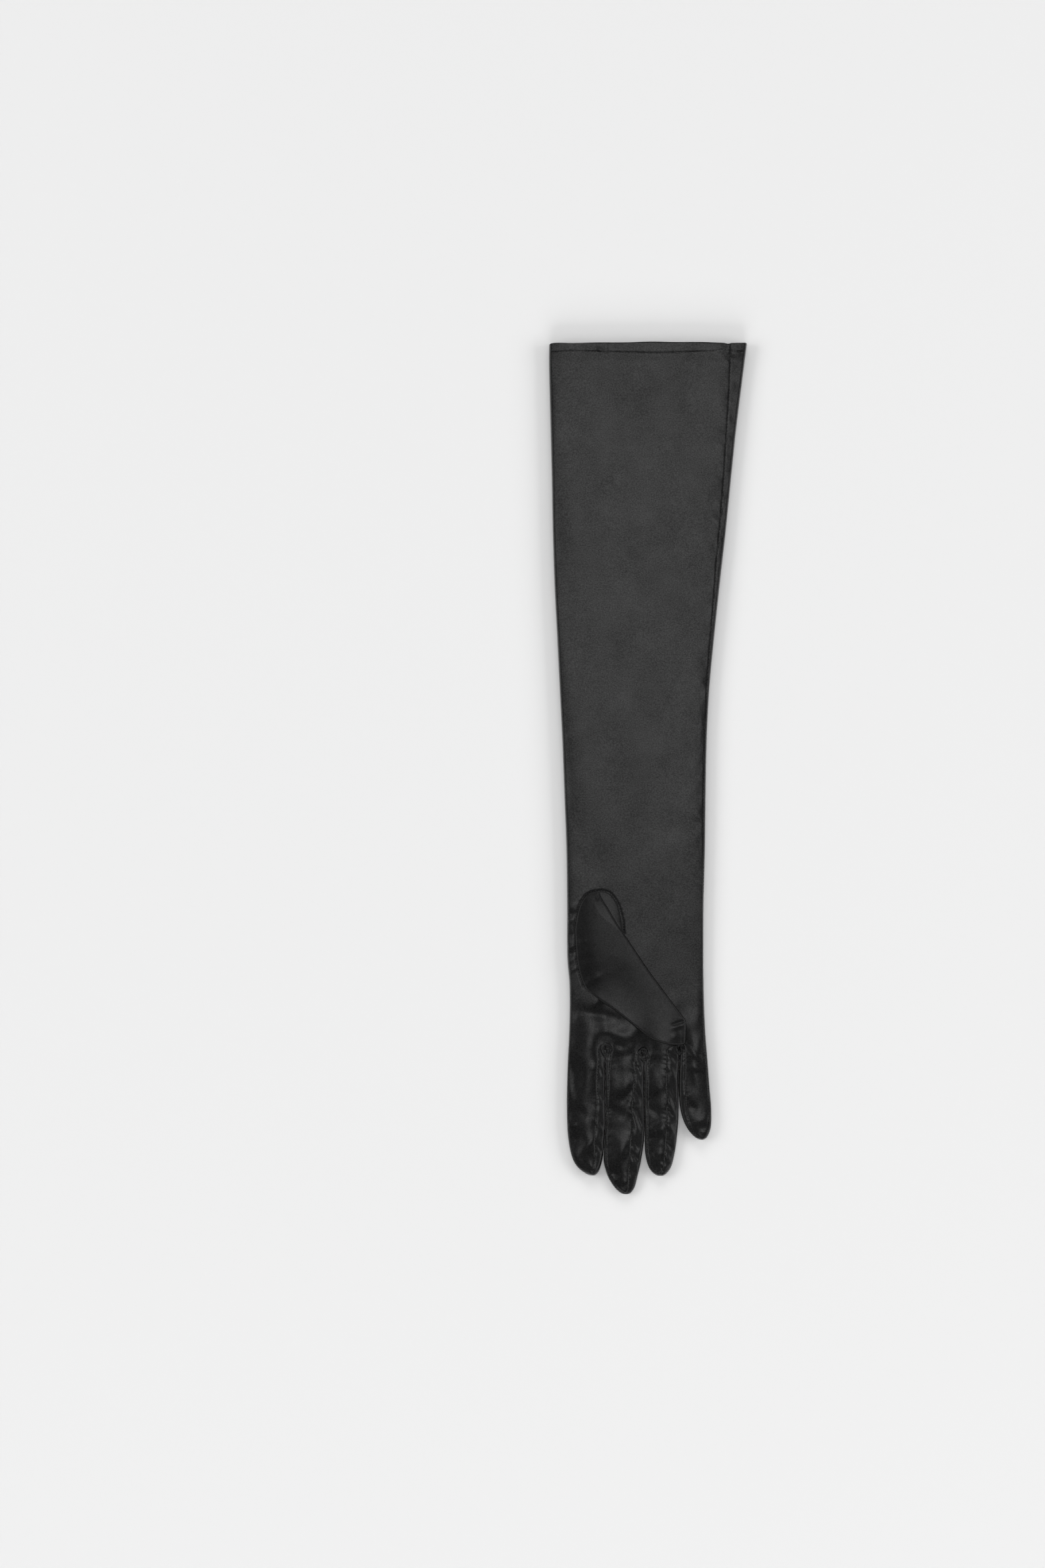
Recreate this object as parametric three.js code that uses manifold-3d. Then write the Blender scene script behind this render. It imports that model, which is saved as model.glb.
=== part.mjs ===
// A long satin dress glove for the right hand. It lies palm up on a table, fingers towards -Y and
// sleeve mouth towards +Y, with the thumb folded over the palm. The sleeve, palm and back are one
// piece of satin. A thumb piece is set into an egg-shaped hole in the palm, a fourchette lines the
// sides of each pair of fingers, a small gathered gusset fills the top of each crotch, and the
// hem is turned inside the mouth. The origin is the centre of the footprint, on the table.
import * as THREE from 'three';
import { mergeVertices } from 'three/addons/utils/BufferGeometryUtils.js';
import Module from 'manifold-3d';

const wasm = await Module();
wasm.setup();

// Lengths along the glove, in millimetres.
const ARM_LENGTH = 353; // from the hem's edge to the wrist, where the thumb hole begins
const PALM_LENGTH = 99; // from the wrist to the line of the crotches
const HEM_DEPTH = 6.2;

// How much wider the mouth is than the wrist, on each side.
const THUMB_SIDE_FLARE = 11.6;
const OUTER_SIDE_FLARE = 27;

// Cloth, seams and the room between the layers.
const CLOTH = 1;
const SEAM_GAP = 0.3;
const FINGER_GAP = 0.6;
const FOLD_HEIGHT = 1.8; // how high the folded edges lie above the table
const HEM_LOFT = 9.6;
const ARM_LOFT = 8;
const PALM_LOFT = 8.2;
const FINGER_LOFT = 7.2;

// Fingers from the thumb side outwards: length from the crotch line, width, and how far the tip
// drifts outwards. The seams are shares of the width from the middle line.
const FINGERS = [
  { length: 86, width: 24, drift: 1.6, thumbSeam: null, outerSeam: 0.28 },
  { length: 97.6, width: 24.9, drift: -1, thumbSeam: -0.4, outerSeam: 0.2 },
  { length: 86, width: 21.6, drift: -0.6, thumbSeam: -0.39, outerSeam: 0.19 },
  { length: 63, width: 18, drift: 4.4, thumbSeam: -0.34, outerSeam: null },
];

// The egg-shaped hole for the thumb, and the thumb itself, which leans across the palm.
const THUMB_HOLE_LENGTH = 63;
const THUMB_HOLE_WIDTH = 31.4;
const THUMB_HOLE_INSET = 4.6; // from the fold at the thumb side to the hole's edge
const THUMB_LENGTH = 114;
const THUMB_WIDTH = 39.5;
const THUMB_LEAN_DEG = 32.2;
const THUMB_ROOT_INSET = 16.2; // from the fold at the thumb side to the start of its middle line
const THUMB_ROOT_DROP = 1.5;
const THUMB_LOFT = 7;
const SKIRT_LOFT = 3; // how far the thumb piece swells between the fold and the hole's edge

// Gathers and pleats.
const GUSSET_WIDTH = 7.4;
const GUSSET_LENGTH = 10.4;
const GUSSET_RISE = 1.9; // how far it reaches up the palm past the crotch line
const GUSSET_HEIGHT = 1.7;
const GUSSET_RUCK = 0.5; // height of its ridges
const PUCKER_PITCH = 11; // along a fourchette
const PUCKER_DEPTH = 0.5;
const PUCKER_SLANT = 0.9; // how far a pucker runs down the finger for each millimetre outwards
const PLEAT_DEPTH = 0.7;
const PLEAT_REACH = 6; // from the fold at the thumb side
const VALLEY_DEPTH = 3;
const VALLEY_WIDTH = 7;
const VALLEY_LENGTH = 24;

// Mesh steps round a section and along a piece.
const BODY_STEPS = { crown: 16, base: 6 };
const SLIM_STEPS = { crown: 10, base: 4 };
const GUSSET_STEPS = { crown: 6, base: 2 };
const PALM_ROWS = 14;

// The arm from the wrist (0) to the hem (1): the share of each side's flare, and the share of the
// way from the arm's loft to the hem's.
const ARM_ROWS = [
  { at: 0, thumbSide: 0, outerSide: 0, open: 0 },
  { at: 0.17, thumbSide: 0.15, outerSide: 0.05, open: 0 },
  { at: 0.27, thumbSide: 0.26, outerSide: 0.07, open: 0 },
  { at: 0.37, thumbSide: 0.41, outerSide: 0.13, open: 0 },
  { at: 0.46, thumbSide: 0.56, outerSide: 0.25, open: 0 },
  { at: 0.56, thumbSide: 0.7, outerSide: 0.39, open: 0.05 },
  { at: 0.66, thumbSide: 0.82, outerSide: 0.53, open: 0.15 },
  { at: 0.76, thumbSide: 0.86, outerSide: 0.64, open: 0.3 },
  { at: 0.86, thumbSide: 0.93, outerSide: 0.78, open: 0.55 },
  { at: 0.95, thumbSide: 1, outerSide: 0.92, open: 0.85 },
  { at: 1, thumbSide: 0.99, outerSide: 1, open: 1 },
];

// The palm from the wrist (0) to the crotch line (1): how far each side is drawn in, as a share
// of the palm's width.
const PALM_SIDES = [
  { at: 0, thumbSide: 0, outerSide: 0.014 },
  { at: 0.2, thumbSide: 0, outerSide: 0.023 },
  { at: 0.45, thumbSide: 0.001, outerSide: 0.024 },
  { at: 0.6, thumbSide: 0.018, outerSide: 0.024 },
  { at: 0.8, thumbSide: 0.019, outerSide: 0.018 },
  { at: 1, thumbSide: 0.008, outerSide: 0.004 },
];

// A fingertip: distance from its end as a share of the finger's width, with the half width and
// height there as shares of the finger's own.
const TIP_ROWS = [
  { from: 0.9, half: 0.97, height: 1 },
  { from: 0.55, half: 0.89, height: 0.97 },
  { from: 0.38, half: 0.81, height: 0.93 },
  { from: 0.22, half: 0.67, height: 0.86 },
  { from: 0.1, half: 0.48, height: 0.74 },
  { from: 0.03, half: 0.29, height: 0.62 },
  { from: 0, half: 0.12, height: 0.52 },
];

// The thumb hole from its top (0) to its bottom (1): its sides as shares of its width, from the
// edge nearest the fold at the thumb side.
const HOLE_ROWS = [
  { at: 0, near: 0.46, far: 0.58 },
  { at: 0.03, near: 0.31, far: 0.72 },
  { at: 0.09, near: 0.19, far: 0.84 },
  { at: 0.17, near: 0.09, far: 0.91 },
  { at: 0.26, near: 0.03, far: 0.97 },
  { at: 0.38, near: 0, far: 1 },
  { at: 0.52, near: 0.01, far: 0.98 },
  { at: 0.66, near: 0.04, far: 0.9 },
  { at: 0.8, near: 0.08, far: 0.73 },
  { at: 0.92, near: 0.13, far: 0.5 },
  { at: 1, near: 0.22, far: 0.33 },
];

// The thumb along its middle line, from its root (0) to its tip (1): the sewn edge and the folded
// edge as shares of its width, and its height as a share of its loft.
const THUMB_ROWS = [
  { at: 0, sewn: -0.08, folded: 0.03, height: 0.45 },
  { at: 0.03, sewn: -0.27, folded: 0.05, height: 0.62 },
  { at: 0.09, sewn: -0.49, folded: 0.06, height: 0.82 },
  { at: 0.175, sewn: -0.645, folded: 0.063, height: 0.95 },
  { at: 0.31, sewn: -0.83, folded: 0.07, height: 1 },
  { at: 0.44, sewn: -0.913, folded: 0.086, height: 1 },
  { at: 0.55, sewn: -0.818, folded: 0.106, height: 1 },
  { at: 0.685, sewn: -0.68, folded: 0.13, height: 0.97 },
  { at: 0.82, sewn: -0.54, folded: 0.17, height: 0.92 },
  { at: 0.89, sewn: -0.42, folded: 0.187, height: 0.86 },
  { at: 0.96, sewn: -0.24, folded: 0.045, height: 0.72 },
  { at: 1, sewn: -0.07, folded: -0.03, height: 0.5 },
];

// Values worked out from the sizes above.
const PALM_WIDTH = FINGERS.reduce((sum, f) => sum + f.width, 0) + FINGER_GAP * (FINGERS.length - 1);
const THUMB_FOLD_X = -PALM_WIDTH / 2;
const HEM_Y = PALM_LENGTH + ARM_LENGTH;
const ROOT_OVERLAP = PALM_LENGTH * 0.12; // how far a finger reaches into the palm's hollow
const ROOT_HALF = 0.82; // a finger's half width inside the palm, as a share of its own
const CROWN_POWER = 0.28; // how flat the top of a section is
const BASE_FLAT = 0.35; // the share of a section's half height at which its base lies flat
const FOLD_RISE = 0.6; // least height of a folded edge above its own base
const LEAST_HALF = 0.4; // least half width of a row
const SUNK = 2 * (CLOTH + SEAM_GAP); // how deep the thumb's solids reach before the palm trims them
const MOUTH_CLEAR = 4; // how far a hollow is cut past the mouth
const TIP_CLEAR = 6; // how far a cut runs past a fingertip, or the palm's end
const HIGH = 2 * (PALM_LOFT + THUMB_LOFT); // above everything

const lerp = THREE.MathUtils.lerp;
const clamp = THREE.MathUtils.clamp;

/** Reads a column of a table at a share of its length, straight between its rows. */
function readTable(rows, column, at) {
  const next = rows.findIndex((row) => row.at >= at);
  if (next === 0) return rows[0][column];
  if (next < 0) return rows[rows.length - 1][column];
  const [a, b] = [rows[next - 1], rows[next]];
  return lerp(a[column], b[column], (at - a.at) / (b.at - a.at));
}

/** A closed geometry as a solid for joining and cutting. */
function toSolid(geometry) {
  geometry.deleteAttribute('normal');
  geometry.deleteAttribute('uv');
  const merged = mergeVertices(geometry, 1e-4);
  return new wasm.Manifold(new wasm.Mesh({
    numProp: 3,
    vertProperties: new Float32Array(merged.attributes.position.array),
    triVerts: new Uint32Array(merged.index.array),
  }));
}

/** A solid as a geometry again. */
function toGeometry(solid) {
  const mesh = solid.getMesh();
  const geometry = new THREE.BufferGeometry();
  geometry.setAttribute('position', new THREE.BufferAttribute(new Float32Array(mesh.vertProperties), 3));
  geometry.setIndex(new THREE.BufferAttribute(new Uint32Array(mesh.triVerts), 1));
  geometry.computeVertexNormals();
  return geometry;
}

/** Joins rings of equally many points into one closed solid with a flat face at each end. */
function loft(rings) {
  const count = rings[0].length;
  const faces = [];
  for (let row = 0; row < rings.length - 1; row++) {
    for (let i = 0; i < count; i++) {
      const [a, b] = [row * count + i, row * count + ((i + 1) % count)];
      faces.push(a, b, a + count, b, b + count, a + count);
    }
  }
  const ends = [[0, rings[0]], [(rings.length - 1) * count, rings[rings.length - 1]]];
  for (const [first, ring] of ends) {
    for (const corners of endFaces(ring)) {
      const inOrder = corners.sort((a, b) => a - b).map((i) => first + i);
      faces.push(...(first ? inOrder : inOrder.reverse()));
    }
  }
  return toSolid(new THREE.BufferGeometry().setFromPoints(rings.flat()).setIndex(faces));
}

/** The triangles that fill a ring, seen along the piece. */
function endFaces(ring) {
  const flat = (p) => new THREE.Vector2(p.x, p.y);
  const reach = ring.map((p) => flat(p).distanceTo(flat(ring[0])));
  const widest = flat(ring[reach.indexOf(Math.max(...reach))]);
  const along = widest.sub(flat(ring[0])).normalize();
  return THREE.ShapeUtils.triangulateShape(ring.map((p) => new THREE.Vector2(flat(p).dot(along), p.z)), []);
}

/** A plan outline of [x, y] points drawn out from one height to another. */
function prism(outline, low, high) {
  const shape = new THREE.Shape(outline.map(([x, y]) => new THREE.Vector2(x, y)));
  const geometry = new THREE.ExtrudeGeometry(shape, { depth: high - low, bevelEnabled: false });
  return toSolid(geometry.translate(0, 0, low));
}

/** How high a section's top stands at a share of its half width: 0 at its edges, 1 in the middle. */
function crown(share) {
  return Math.max(0, 1 - share * share) ** CROWN_POWER;
}

/** One ring: over the top from the right edge to the left, then back along the base. */
function sectionRing({ left, right, steps, place, top, base }) {
  const middle = (left + right) / 2;
  const half = Math.max(LEAST_HALF, (right - left) / 2);
  const ring = [];
  for (let i = 0; i <= steps.crown; i++) {
    const share = Math.cos((Math.PI * i) / steps.crown);
    const across = middle + half * share;
    ring.push(place(across, top(across, share)));
  }
  for (let i = steps.base - 1; i > 0; i--) {
    const share = Math.cos((Math.PI * i) / steps.base);
    const across = middle + half * share;
    ring.push(place(across, base(across, share)));
  }
  return ring;
}

/** The base of a section that lies flat on the table, turned up at its edges. */
function flatBase(low, fold) {
  return (_, share) => lerp(fold, low, Math.min(1, Math.sqrt(1 - share * share) / BASE_FLAT));
}

/** The sides and loft of the sleeve and palm at a height up the glove. */
function bodyAt(y) {
  if (y >= PALM_LENGTH) {
    const at = Math.min(1, (y - PALM_LENGTH) / ARM_LENGTH);
    const [wrist] = PALM_SIDES;
    const thumbEdge = THUMB_FOLD_X + PALM_WIDTH * wrist.thumbSide;
    const outerEdge = -THUMB_FOLD_X - PALM_WIDTH * wrist.outerSide;
    return {
      left: thumbEdge - THUMB_SIDE_FLARE * readTable(ARM_ROWS, 'thumbSide', at),
      right: outerEdge + OUTER_SIDE_FLARE * readTable(ARM_ROWS, 'outerSide', at),
      high: lerp(ARM_LOFT, HEM_LOFT, readTable(ARM_ROWS, 'open', at)),
    };
  }
  const at = Math.min(1, 1 - y / PALM_LENGTH);
  return {
    left: THUMB_FOLD_X + PALM_WIDTH * readTable(PALM_SIDES, 'thumbSide', at),
    right: -THUMB_FOLD_X - PALM_WIDTH * readTable(PALM_SIDES, 'outerSide', at),
    high: lerp(ARM_LOFT, PALM_LOFT, at),
  };
}

/** The left edge of a finger at the crotch line. */
function fingerLeft(finger) {
  const before = FINGERS.slice(0, FINGERS.indexOf(finger));
  return THUMB_FOLD_X + before.reduce((sum, f) => sum + f.width + FINGER_GAP, 0);
}

/** The middle line of a finger at a distance down from the crotch line. */
function fingerMiddle(finger, down) {
  const share = clamp(down / finger.length, 0, 1);
  return fingerLeft(finger) + finger.width / 2 + finger.drift * share ** 2;
}

// Each pair of neighbouring fingers, with the middle of the gap between them.
const CROTCHES = FINGERS.slice(1).map((outward, i) => ({
  x: fingerLeft(outward) - FINGER_GAP / 2,
  thumbward: FINGERS[i],
  outward,
}));

/** How far the palm's top dips at a point: valleys lead to the crotches, and pleats run in from
 * the fold beside the thumb hole. */
function palmDip(x, y) {
  const fade = clamp(1 - y / VALLEY_LENGTH, 0, 1) ** 2;
  const valley = Math.max(...CROTCHES.map((c) => Math.exp(-(((x - c.x) / VALLEY_WIDTH) ** 2))));
  const row = Math.round((y / PALM_LENGTH) * PALM_ROWS);
  const pleated = row > PALM_ROWS * 0.45 && row < PALM_ROWS * 0.9 && row % 2 === 1;
  const beside = clamp(1 - (x - bodyAt(y).left) / PLEAT_REACH, 0, 1);
  return VALLEY_DEPTH * fade * valley + (pleated ? PLEAT_DEPTH * beside : 0);
}

/** Height of the top of the sleeve or palm at a point. */
function bodyTop(x, y) {
  const { left, right, high } = bodyAt(y);
  const share = (x - (left + right) / 2) / ((right - left) / 2);
  return lerp(FOLD_HEIGHT, high, crown(share)) - palmDip(x, y);
}

/** The sleeve and palm as one closed solid, drawn in by an inset and lifted as asked. Its ends
 * may be moved: the palm's by end and the mouth's by mouth. */
function bodySolid({ inset = 0, lift = 0, end = 0, mouth = 0 } = {}) {
  const palmYs = Array.from({ length: PALM_ROWS }, (_, i) => (PALM_LENGTH * i) / PALM_ROWS);
  const ys = [...palmYs, ...ARM_ROWS.map((row) => PALM_LENGTH + ARM_LENGTH * row.at)];
  ys[0] += end;
  if (mouth) ys.push(HEM_Y + mouth);
  const fold = Math.max(FOLD_HEIGHT, inset + FOLD_RISE);
  return loft(ys.reverse().map((y) => {
    const { left, right, high } = bodyAt(y);
    return sectionRing({
      left: left + inset,
      right: right - inset,
      steps: BODY_STEPS,
      place: (x, z) => new THREE.Vector3(x, y, z + lift),
      top: (x, share) => lerp(fold, high - inset, crown(share)) - palmDip(x, y) * crown(share),
      base: flatBase(inset, fold),
    });
  }));
}

/** The rows of a finger: distance down from the crotch line, shares of width and height, and
 * whether the row is a pucker's hollow. */
function fingerRows(finger, puckered) {
  const shaftEnd = finger.length - TIP_ROWS[0].from * finger.width;
  const step = puckered ? PUCKER_PITCH / 2 : shaftEnd / 4;
  const rows = [{ down: -ROOT_OVERLAP, half: ROOT_HALF, height: 1 }];
  for (let i = 0; i * step < shaftEnd - step / 2; i++) {
    const hollow = puckered && i % 2 === 1;
    rows.push({ down: i * step, half: 1, height: 1, hollow });
  }
  for (const { from, half, height } of TIP_ROWS) {
    rows.push({ down: finger.length - from * finger.width, half, height });
  }
  return rows;
}

/** One finger as a closed solid. Past its outer seam the rows lean down the finger and dip in
 * turn, which makes the puckers of the fourchette. */
function fingerSolid(finger, { inset = 0, lift = 0 } = {}) {
  const shaftEnd = finger.length - TIP_ROWS[0].from * finger.width;
  const sewn = finger.outerSeam === null ? 1 : 2 * finger.outerSeam;
  const past = (share) => (Math.max(0, share - sewn) * finger.width) / 2;
  return loft(fingerRows(finger, inset === 0).map(({ down, half, height, hollow }) => {
    const middle = fingerMiddle(finger, down);
    const wide = Math.max(LEAST_HALF, (finger.width / 2) * half - inset);
    const high = FINGER_LOFT * height - inset;
    const fold = Math.min(Math.max(FOLD_HEIGHT, inset + FOLD_RISE), high - FOLD_RISE);
    const slanted = !inset && down > 0 && down < shaftEnd;
    return sectionRing({
      left: middle - wide,
      right: middle + wide,
      steps: SLIM_STEPS,
      place: (x, z) => {
        const slant = slanted ? PUCKER_SLANT * past((x - middle) / wide) : 0;
        return new THREE.Vector3(x, -Math.min(down, finger.length - inset) - slant, z + lift);
      },
      top: (_, share) => lerp(fold, high, crown(share)) - (hollow ? PUCKER_DEPTH * Math.min(1, past(share)) : 0),
      base: flatBase(inset, fold),
    });
  }));
}

/** The plan of the strip between two fingers' seams, from the crotch past the fingertips. */
function fourchettePlan({ x, thumbward, outward }, grow = 0) {
  const low = Math.max(thumbward.length, outward.length) + TIP_CLEAR;
  const start = GUSSET_LENGTH / 2 - GUSSET_RISE;
  const steps = 10;
  const seam = (finger, share, shift) => Array.from({ length: steps + 1 }, (_, i) => {
    const down = lerp(start, low, i / steps);
    return [fingerMiddle(finger, down) + share * finger.width + shift, -down];
  });
  const topY = CLOTH + SEAM_GAP + grow;
  return [
    [x + GUSSET_WIDTH / 8 + grow, topY],
    [x - GUSSET_WIDTH / 8 - grow, topY],
    ...seam(thumbward, thumbward.outerSeam, -grow),
    ...seam(outward, outward.thumbSeam, grow).reverse(),
  ];
}

/** The plan of a crotch gusset: a leaf, pointed at both ends. */
function gussetPlan({ x }, grow = 0) {
  const steps = 6;
  const side = (sign) => Array.from({ length: steps + 1 }, (_, i) => {
    const half = (GUSSET_WIDTH / 2 + grow) * Math.sin((Math.PI * i) / steps) ** 0.8;
    return [x + sign * half, GUSSET_RISE + grow - ((GUSSET_LENGTH + 2 * grow) * i) / steps];
  });
  return [...side(-1), ...side(1).slice(1, -1).reverse()];
}

/** Height of the underside of a crotch gusset. */
function gussetBase({ x }) {
  return bodyTop(x, GUSSET_RISE) - GUSSET_HEIGHT;
}

/** A crotch gusset: a small leaf of gathered cloth with ridges across it. */
function gussetSolid(crotch) {
  const rows = 8;
  const low = gussetBase(crotch);
  return loft(Array.from({ length: rows + 1 }, (_, i) => {
    const at = i / rows;
    const half = Math.max(LEAST_HALF, (GUSSET_WIDTH / 2) * Math.sin(Math.PI * at) ** 0.8);
    const high = GUSSET_HEIGHT * (0.75 + 0.25 * Math.sin(Math.PI * at)) - (i % 2 ? GUSSET_RUCK : 0);
    return sectionRing({
      left: crotch.x - half,
      right: crotch.x + half,
      steps: GUSSET_STEPS,
      place: (x, z) => new THREE.Vector3(x, GUSSET_RISE - GUSSET_LENGTH * at, z),
      top: (_, share) => low + high * lerp(0.5, 1, crown(share)),
      base: () => low,
    });
  }));
}

/** The plan of the thumb hole, drawn in by an inset. */
function holeSides(row, inset) {
  const edge = THUMB_FOLD_X + THUMB_HOLE_INSET;
  const middle = edge + (THUMB_HOLE_WIDTH * (row.near + row.far)) / 2;
  const half = Math.max(LEAST_HALF, (THUMB_HOLE_WIDTH * (row.far - row.near)) / 2 - inset);
  return { left: middle - half, right: middle + half };
}

/** The plan of the thumb hole as a solid through the top layer, drawn in by an inset. */
function holePrism(inset = 0) {
  const point = (row, side) => [
    holeSides(row, inset)[side],
    PALM_LENGTH - inset - (THUMB_HOLE_LENGTH - 2 * inset) * row.at,
  ];
  const left = HOLE_ROWS.map((row) => point(row, 'left'));
  const right = HOLE_ROWS.map((row) => point(row, 'right'));
  return prism([...left, ...right.reverse()], FOLD_HEIGHT + CLOTH, HIGH);
}

/** The low swelling of the thumb piece that fills the hole round the folded thumb. */
function skirtSolid(inset) {
  return loft(HOLE_ROWS.map((row) => {
    const y = PALM_LENGTH - inset - (THUMB_HOLE_LENGTH - 2 * inset) * row.at;
    const rise = SKIRT_LOFT * Math.sin(Math.PI * row.at) ** 0.6;
    return sectionRing({
      ...holeSides(row, inset),
      steps: SLIM_STEPS,
      place: (x, z) => new THREE.Vector3(x, y, z),
      top: (x, share) => bodyTop(x, y) + rise * crown(share) - inset,
      base: (x) => bodyTop(x, y) - SUNK - inset,
    });
  }));
}

/** The folded thumb as a flat tube along its leaning middle line, sunk into the palm. */
function thumbTube(inset) {
  const lean = THREE.MathUtils.degToRad(THUMB_LEAN_DEG);
  const root = new THREE.Vector2(THUMB_FOLD_X + THUMB_ROOT_INSET, PALM_LENGTH - THUMB_ROOT_DROP);
  const along = new THREE.Vector2(Math.sin(lean), -Math.cos(lean));
  const across = new THREE.Vector2(Math.cos(lean), Math.sin(lean));
  return loft(THUMB_ROWS.map((row) => {
    const down = clamp(THUMB_LENGTH * row.at, inset, THUMB_LENGTH - inset);
    const spot = (s) => root.clone().addScaledVector(along, down).addScaledVector(across, s);
    const under = (s) => bodyTop(spot(s).x, spot(s).y);
    const high = THUMB_LOFT * row.height - inset;
    const fold = Math.min(high, SEAM_GAP + inset + FOLD_RISE);
    return sectionRing({
      left: THUMB_WIDTH * row.sewn + inset,
      right: THUMB_WIDTH * row.folded - inset,
      steps: SLIM_STEPS,
      place: (s, z) => new THREE.Vector3(spot(s).x, spot(s).y, z),
      top: (s, share) => under(s) + lerp(fold, high, crown(share)),
      base: (s) => under(s) - SUNK - inset,
    });
  }));
}

/** All that lies under the folded thumb, up to a lift above it. */
function coveredUpTo(lift) {
  const palm = bodySolid({ lift, end: -TIP_CLEAR });
  return FINGERS.reduce((sum, finger) => sum.add(fingerSolid(finger, { lift })), palm);
}

/** The thumb piece: hollow, with its lower layer on the palm outside the hole, and open into the
 * palm's hollow inside it. */
function thumbSolid(palmHollow) {
  const wall = SEAM_GAP + CLOTH;
  const outside = thumbTube(0).add(skirtSolid(SEAM_GAP));
  const palm = coveredUpTo(SEAM_GAP).subtract(holePrism(SEAM_GAP));
  const lowerLayer = coveredUpTo(wall).subtract(holePrism(wall));
  const inside = thumbTube(CLOTH).add(skirtSolid(wall)).subtract(lowerLayer);
  return outside.subtract(palm).subtract(palmHollow).subtract(inside);
}

/** The turned hem: a band inside the mouth, clear of the sleeve all round. */
function hemSolid() {
  const reach = 2 * (PALM_WIDTH + THUMB_SIDE_FLARE + OUTER_SIDE_FLARE);
  const corners = [
    [-reach, HEM_Y - HEM_DEPTH],
    [reach, HEM_Y - HEM_DEPTH],
    [reach, HEM_Y],
    [-reach, HEM_Y],
  ];
  const band = bodySolid({ inset: CLOTH + SEAM_GAP }).intersect(prism(corners, -HIGH, HIGH));
  return band.subtract(bodySolid({ inset: 2 * CLOTH + SEAM_GAP, mouth: MOUTH_CLEAR }));
}

/** Every piece of the glove as a closed solid, by name. */
function gloveSolids() {
  const names = ['index_middle', 'middle_ring', 'ring_little'];
  const palmHollow = bodySolid({ inset: CLOTH, end: CLOTH, mouth: MOUTH_CLEAR });
  const outside = FINGERS.reduce((sum, f) => sum.add(fingerSolid(f)), bodySolid());
  const hollow = FINGERS.reduce((sum, f) => sum.add(fingerSolid(f, { inset: CLOTH })), palmHollow);
  const shell = outside.subtract(hollow);
  const span = [-HIGH, HIGH];
  const solids = {};
  let hand = shell.subtract(holePrism());
  CROTCHES.forEach((crotch, i) => {
    const gussetHole = prism(gussetPlan(crotch, SEAM_GAP), gussetBase(crotch) - SEAM_GAP, HIGH);
    hand = hand.subtract(prism(fourchettePlan(crotch, SEAM_GAP), ...span)).subtract(gussetHole);
    solids[`fourchette_${names[i]}`] = shell.intersect(prism(fourchettePlan(crotch), ...span)).subtract(gussetHole);
    solids[`gusset_${names[i]}`] = gussetSolid(crotch);
  });
  return { hand_and_sleeve: hand, hem_turning: hemSolid(), thumb: thumbSolid(palmHollow), ...solids };
}

// Black satin, a little lighter where the single layers of the gussets and fourchettes catch it.
const FINISHES = {
  hand_and_sleeve: { color: 0x2b2b2d, roughness: 0.46 },
  hem_turning: { color: 0x262628, roughness: 0.5 },
  thumb: { color: 0x222224, roughness: 0.44 },
  fourchette: { color: 0x1e1e20, roughness: 0.42 },
  gusset: { color: 0x1a1a1c, roughness: 0.4 },
};

const glove = new THREE.Group();
for (const [name, solid] of Object.entries(gloveSolids())) {
  const finish = FINISHES[name] ?? FINISHES[name.split('_')[0]];
  const mesh = new THREE.Mesh(toGeometry(solid), new THREE.MeshStandardMaterial({ ...finish, metalness: 0 }));
  mesh.name = name;
  glove.add(mesh);
}
const box = new THREE.Box3().setFromObject(glove);
glove.position.set(-(box.min.x + box.max.x) / 2, -(box.min.y + box.max.y) / 2, -box.min.z);

export default glove;
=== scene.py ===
"""A long black satin dress glove lying palm up, with the thumb folded over the palm.

Plan places are in millimetres: x from the middle of the palm towards the little finger, and y from
the line of the crotches towards the sleeve's mouth. Heights are in millimetres above the table.
"""

import logging
import math
from dataclasses import dataclass, field
from enum import Enum
from typing import Callable, Sequence

import bpy
import numpy as np
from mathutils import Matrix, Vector
from mathutils.bvhtree import BVHTree


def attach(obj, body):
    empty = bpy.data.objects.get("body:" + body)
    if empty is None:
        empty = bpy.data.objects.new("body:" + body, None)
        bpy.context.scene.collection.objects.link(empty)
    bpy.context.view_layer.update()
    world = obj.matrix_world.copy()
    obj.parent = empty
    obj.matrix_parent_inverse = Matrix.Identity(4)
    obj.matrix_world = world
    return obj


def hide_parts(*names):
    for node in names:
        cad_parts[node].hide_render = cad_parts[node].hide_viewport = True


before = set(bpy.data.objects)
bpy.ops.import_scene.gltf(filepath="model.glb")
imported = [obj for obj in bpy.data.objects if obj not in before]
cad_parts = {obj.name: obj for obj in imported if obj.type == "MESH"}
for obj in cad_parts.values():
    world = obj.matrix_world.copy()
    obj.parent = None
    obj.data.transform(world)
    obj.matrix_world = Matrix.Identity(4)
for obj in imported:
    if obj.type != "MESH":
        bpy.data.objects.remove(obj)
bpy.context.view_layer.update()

LOG = logging.getLogger("glove")
MM = 0.001
TURN = 2 * math.pi
PIXEL = 0.43  # millimetres of the table for each pixel of the photograph
PHOTO_SIZE = (1568, 2352)
PALM_PIXEL = (956.0, 1565.0)  # where the plan's origin is in the photograph
ROW_SHIFT = (-7.068, -177.2)  # from the plan's origin to the row's
ROOT = "root"

Point = tuple[float, float]
Point3 = tuple[float, float, float]
Array = np.ndarray

# Main sizes, as in the solids.
ARM_LENGTH = 353.0
PALM_LENGTH = 99.0
HEM_Y = PALM_LENGTH + ARM_LENGTH
MOUTH_LEFT = -56.75
HEM_ROLL = ((0.22, 0.12), (0.36, 0.4), (0.3, 0.75))  # how far past the hem and how far inside the cloth


class Side(Enum):
    """Which layer of the flat glove a surface belongs to."""

    PALM = "palm"
    BACK = "back"


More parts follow.
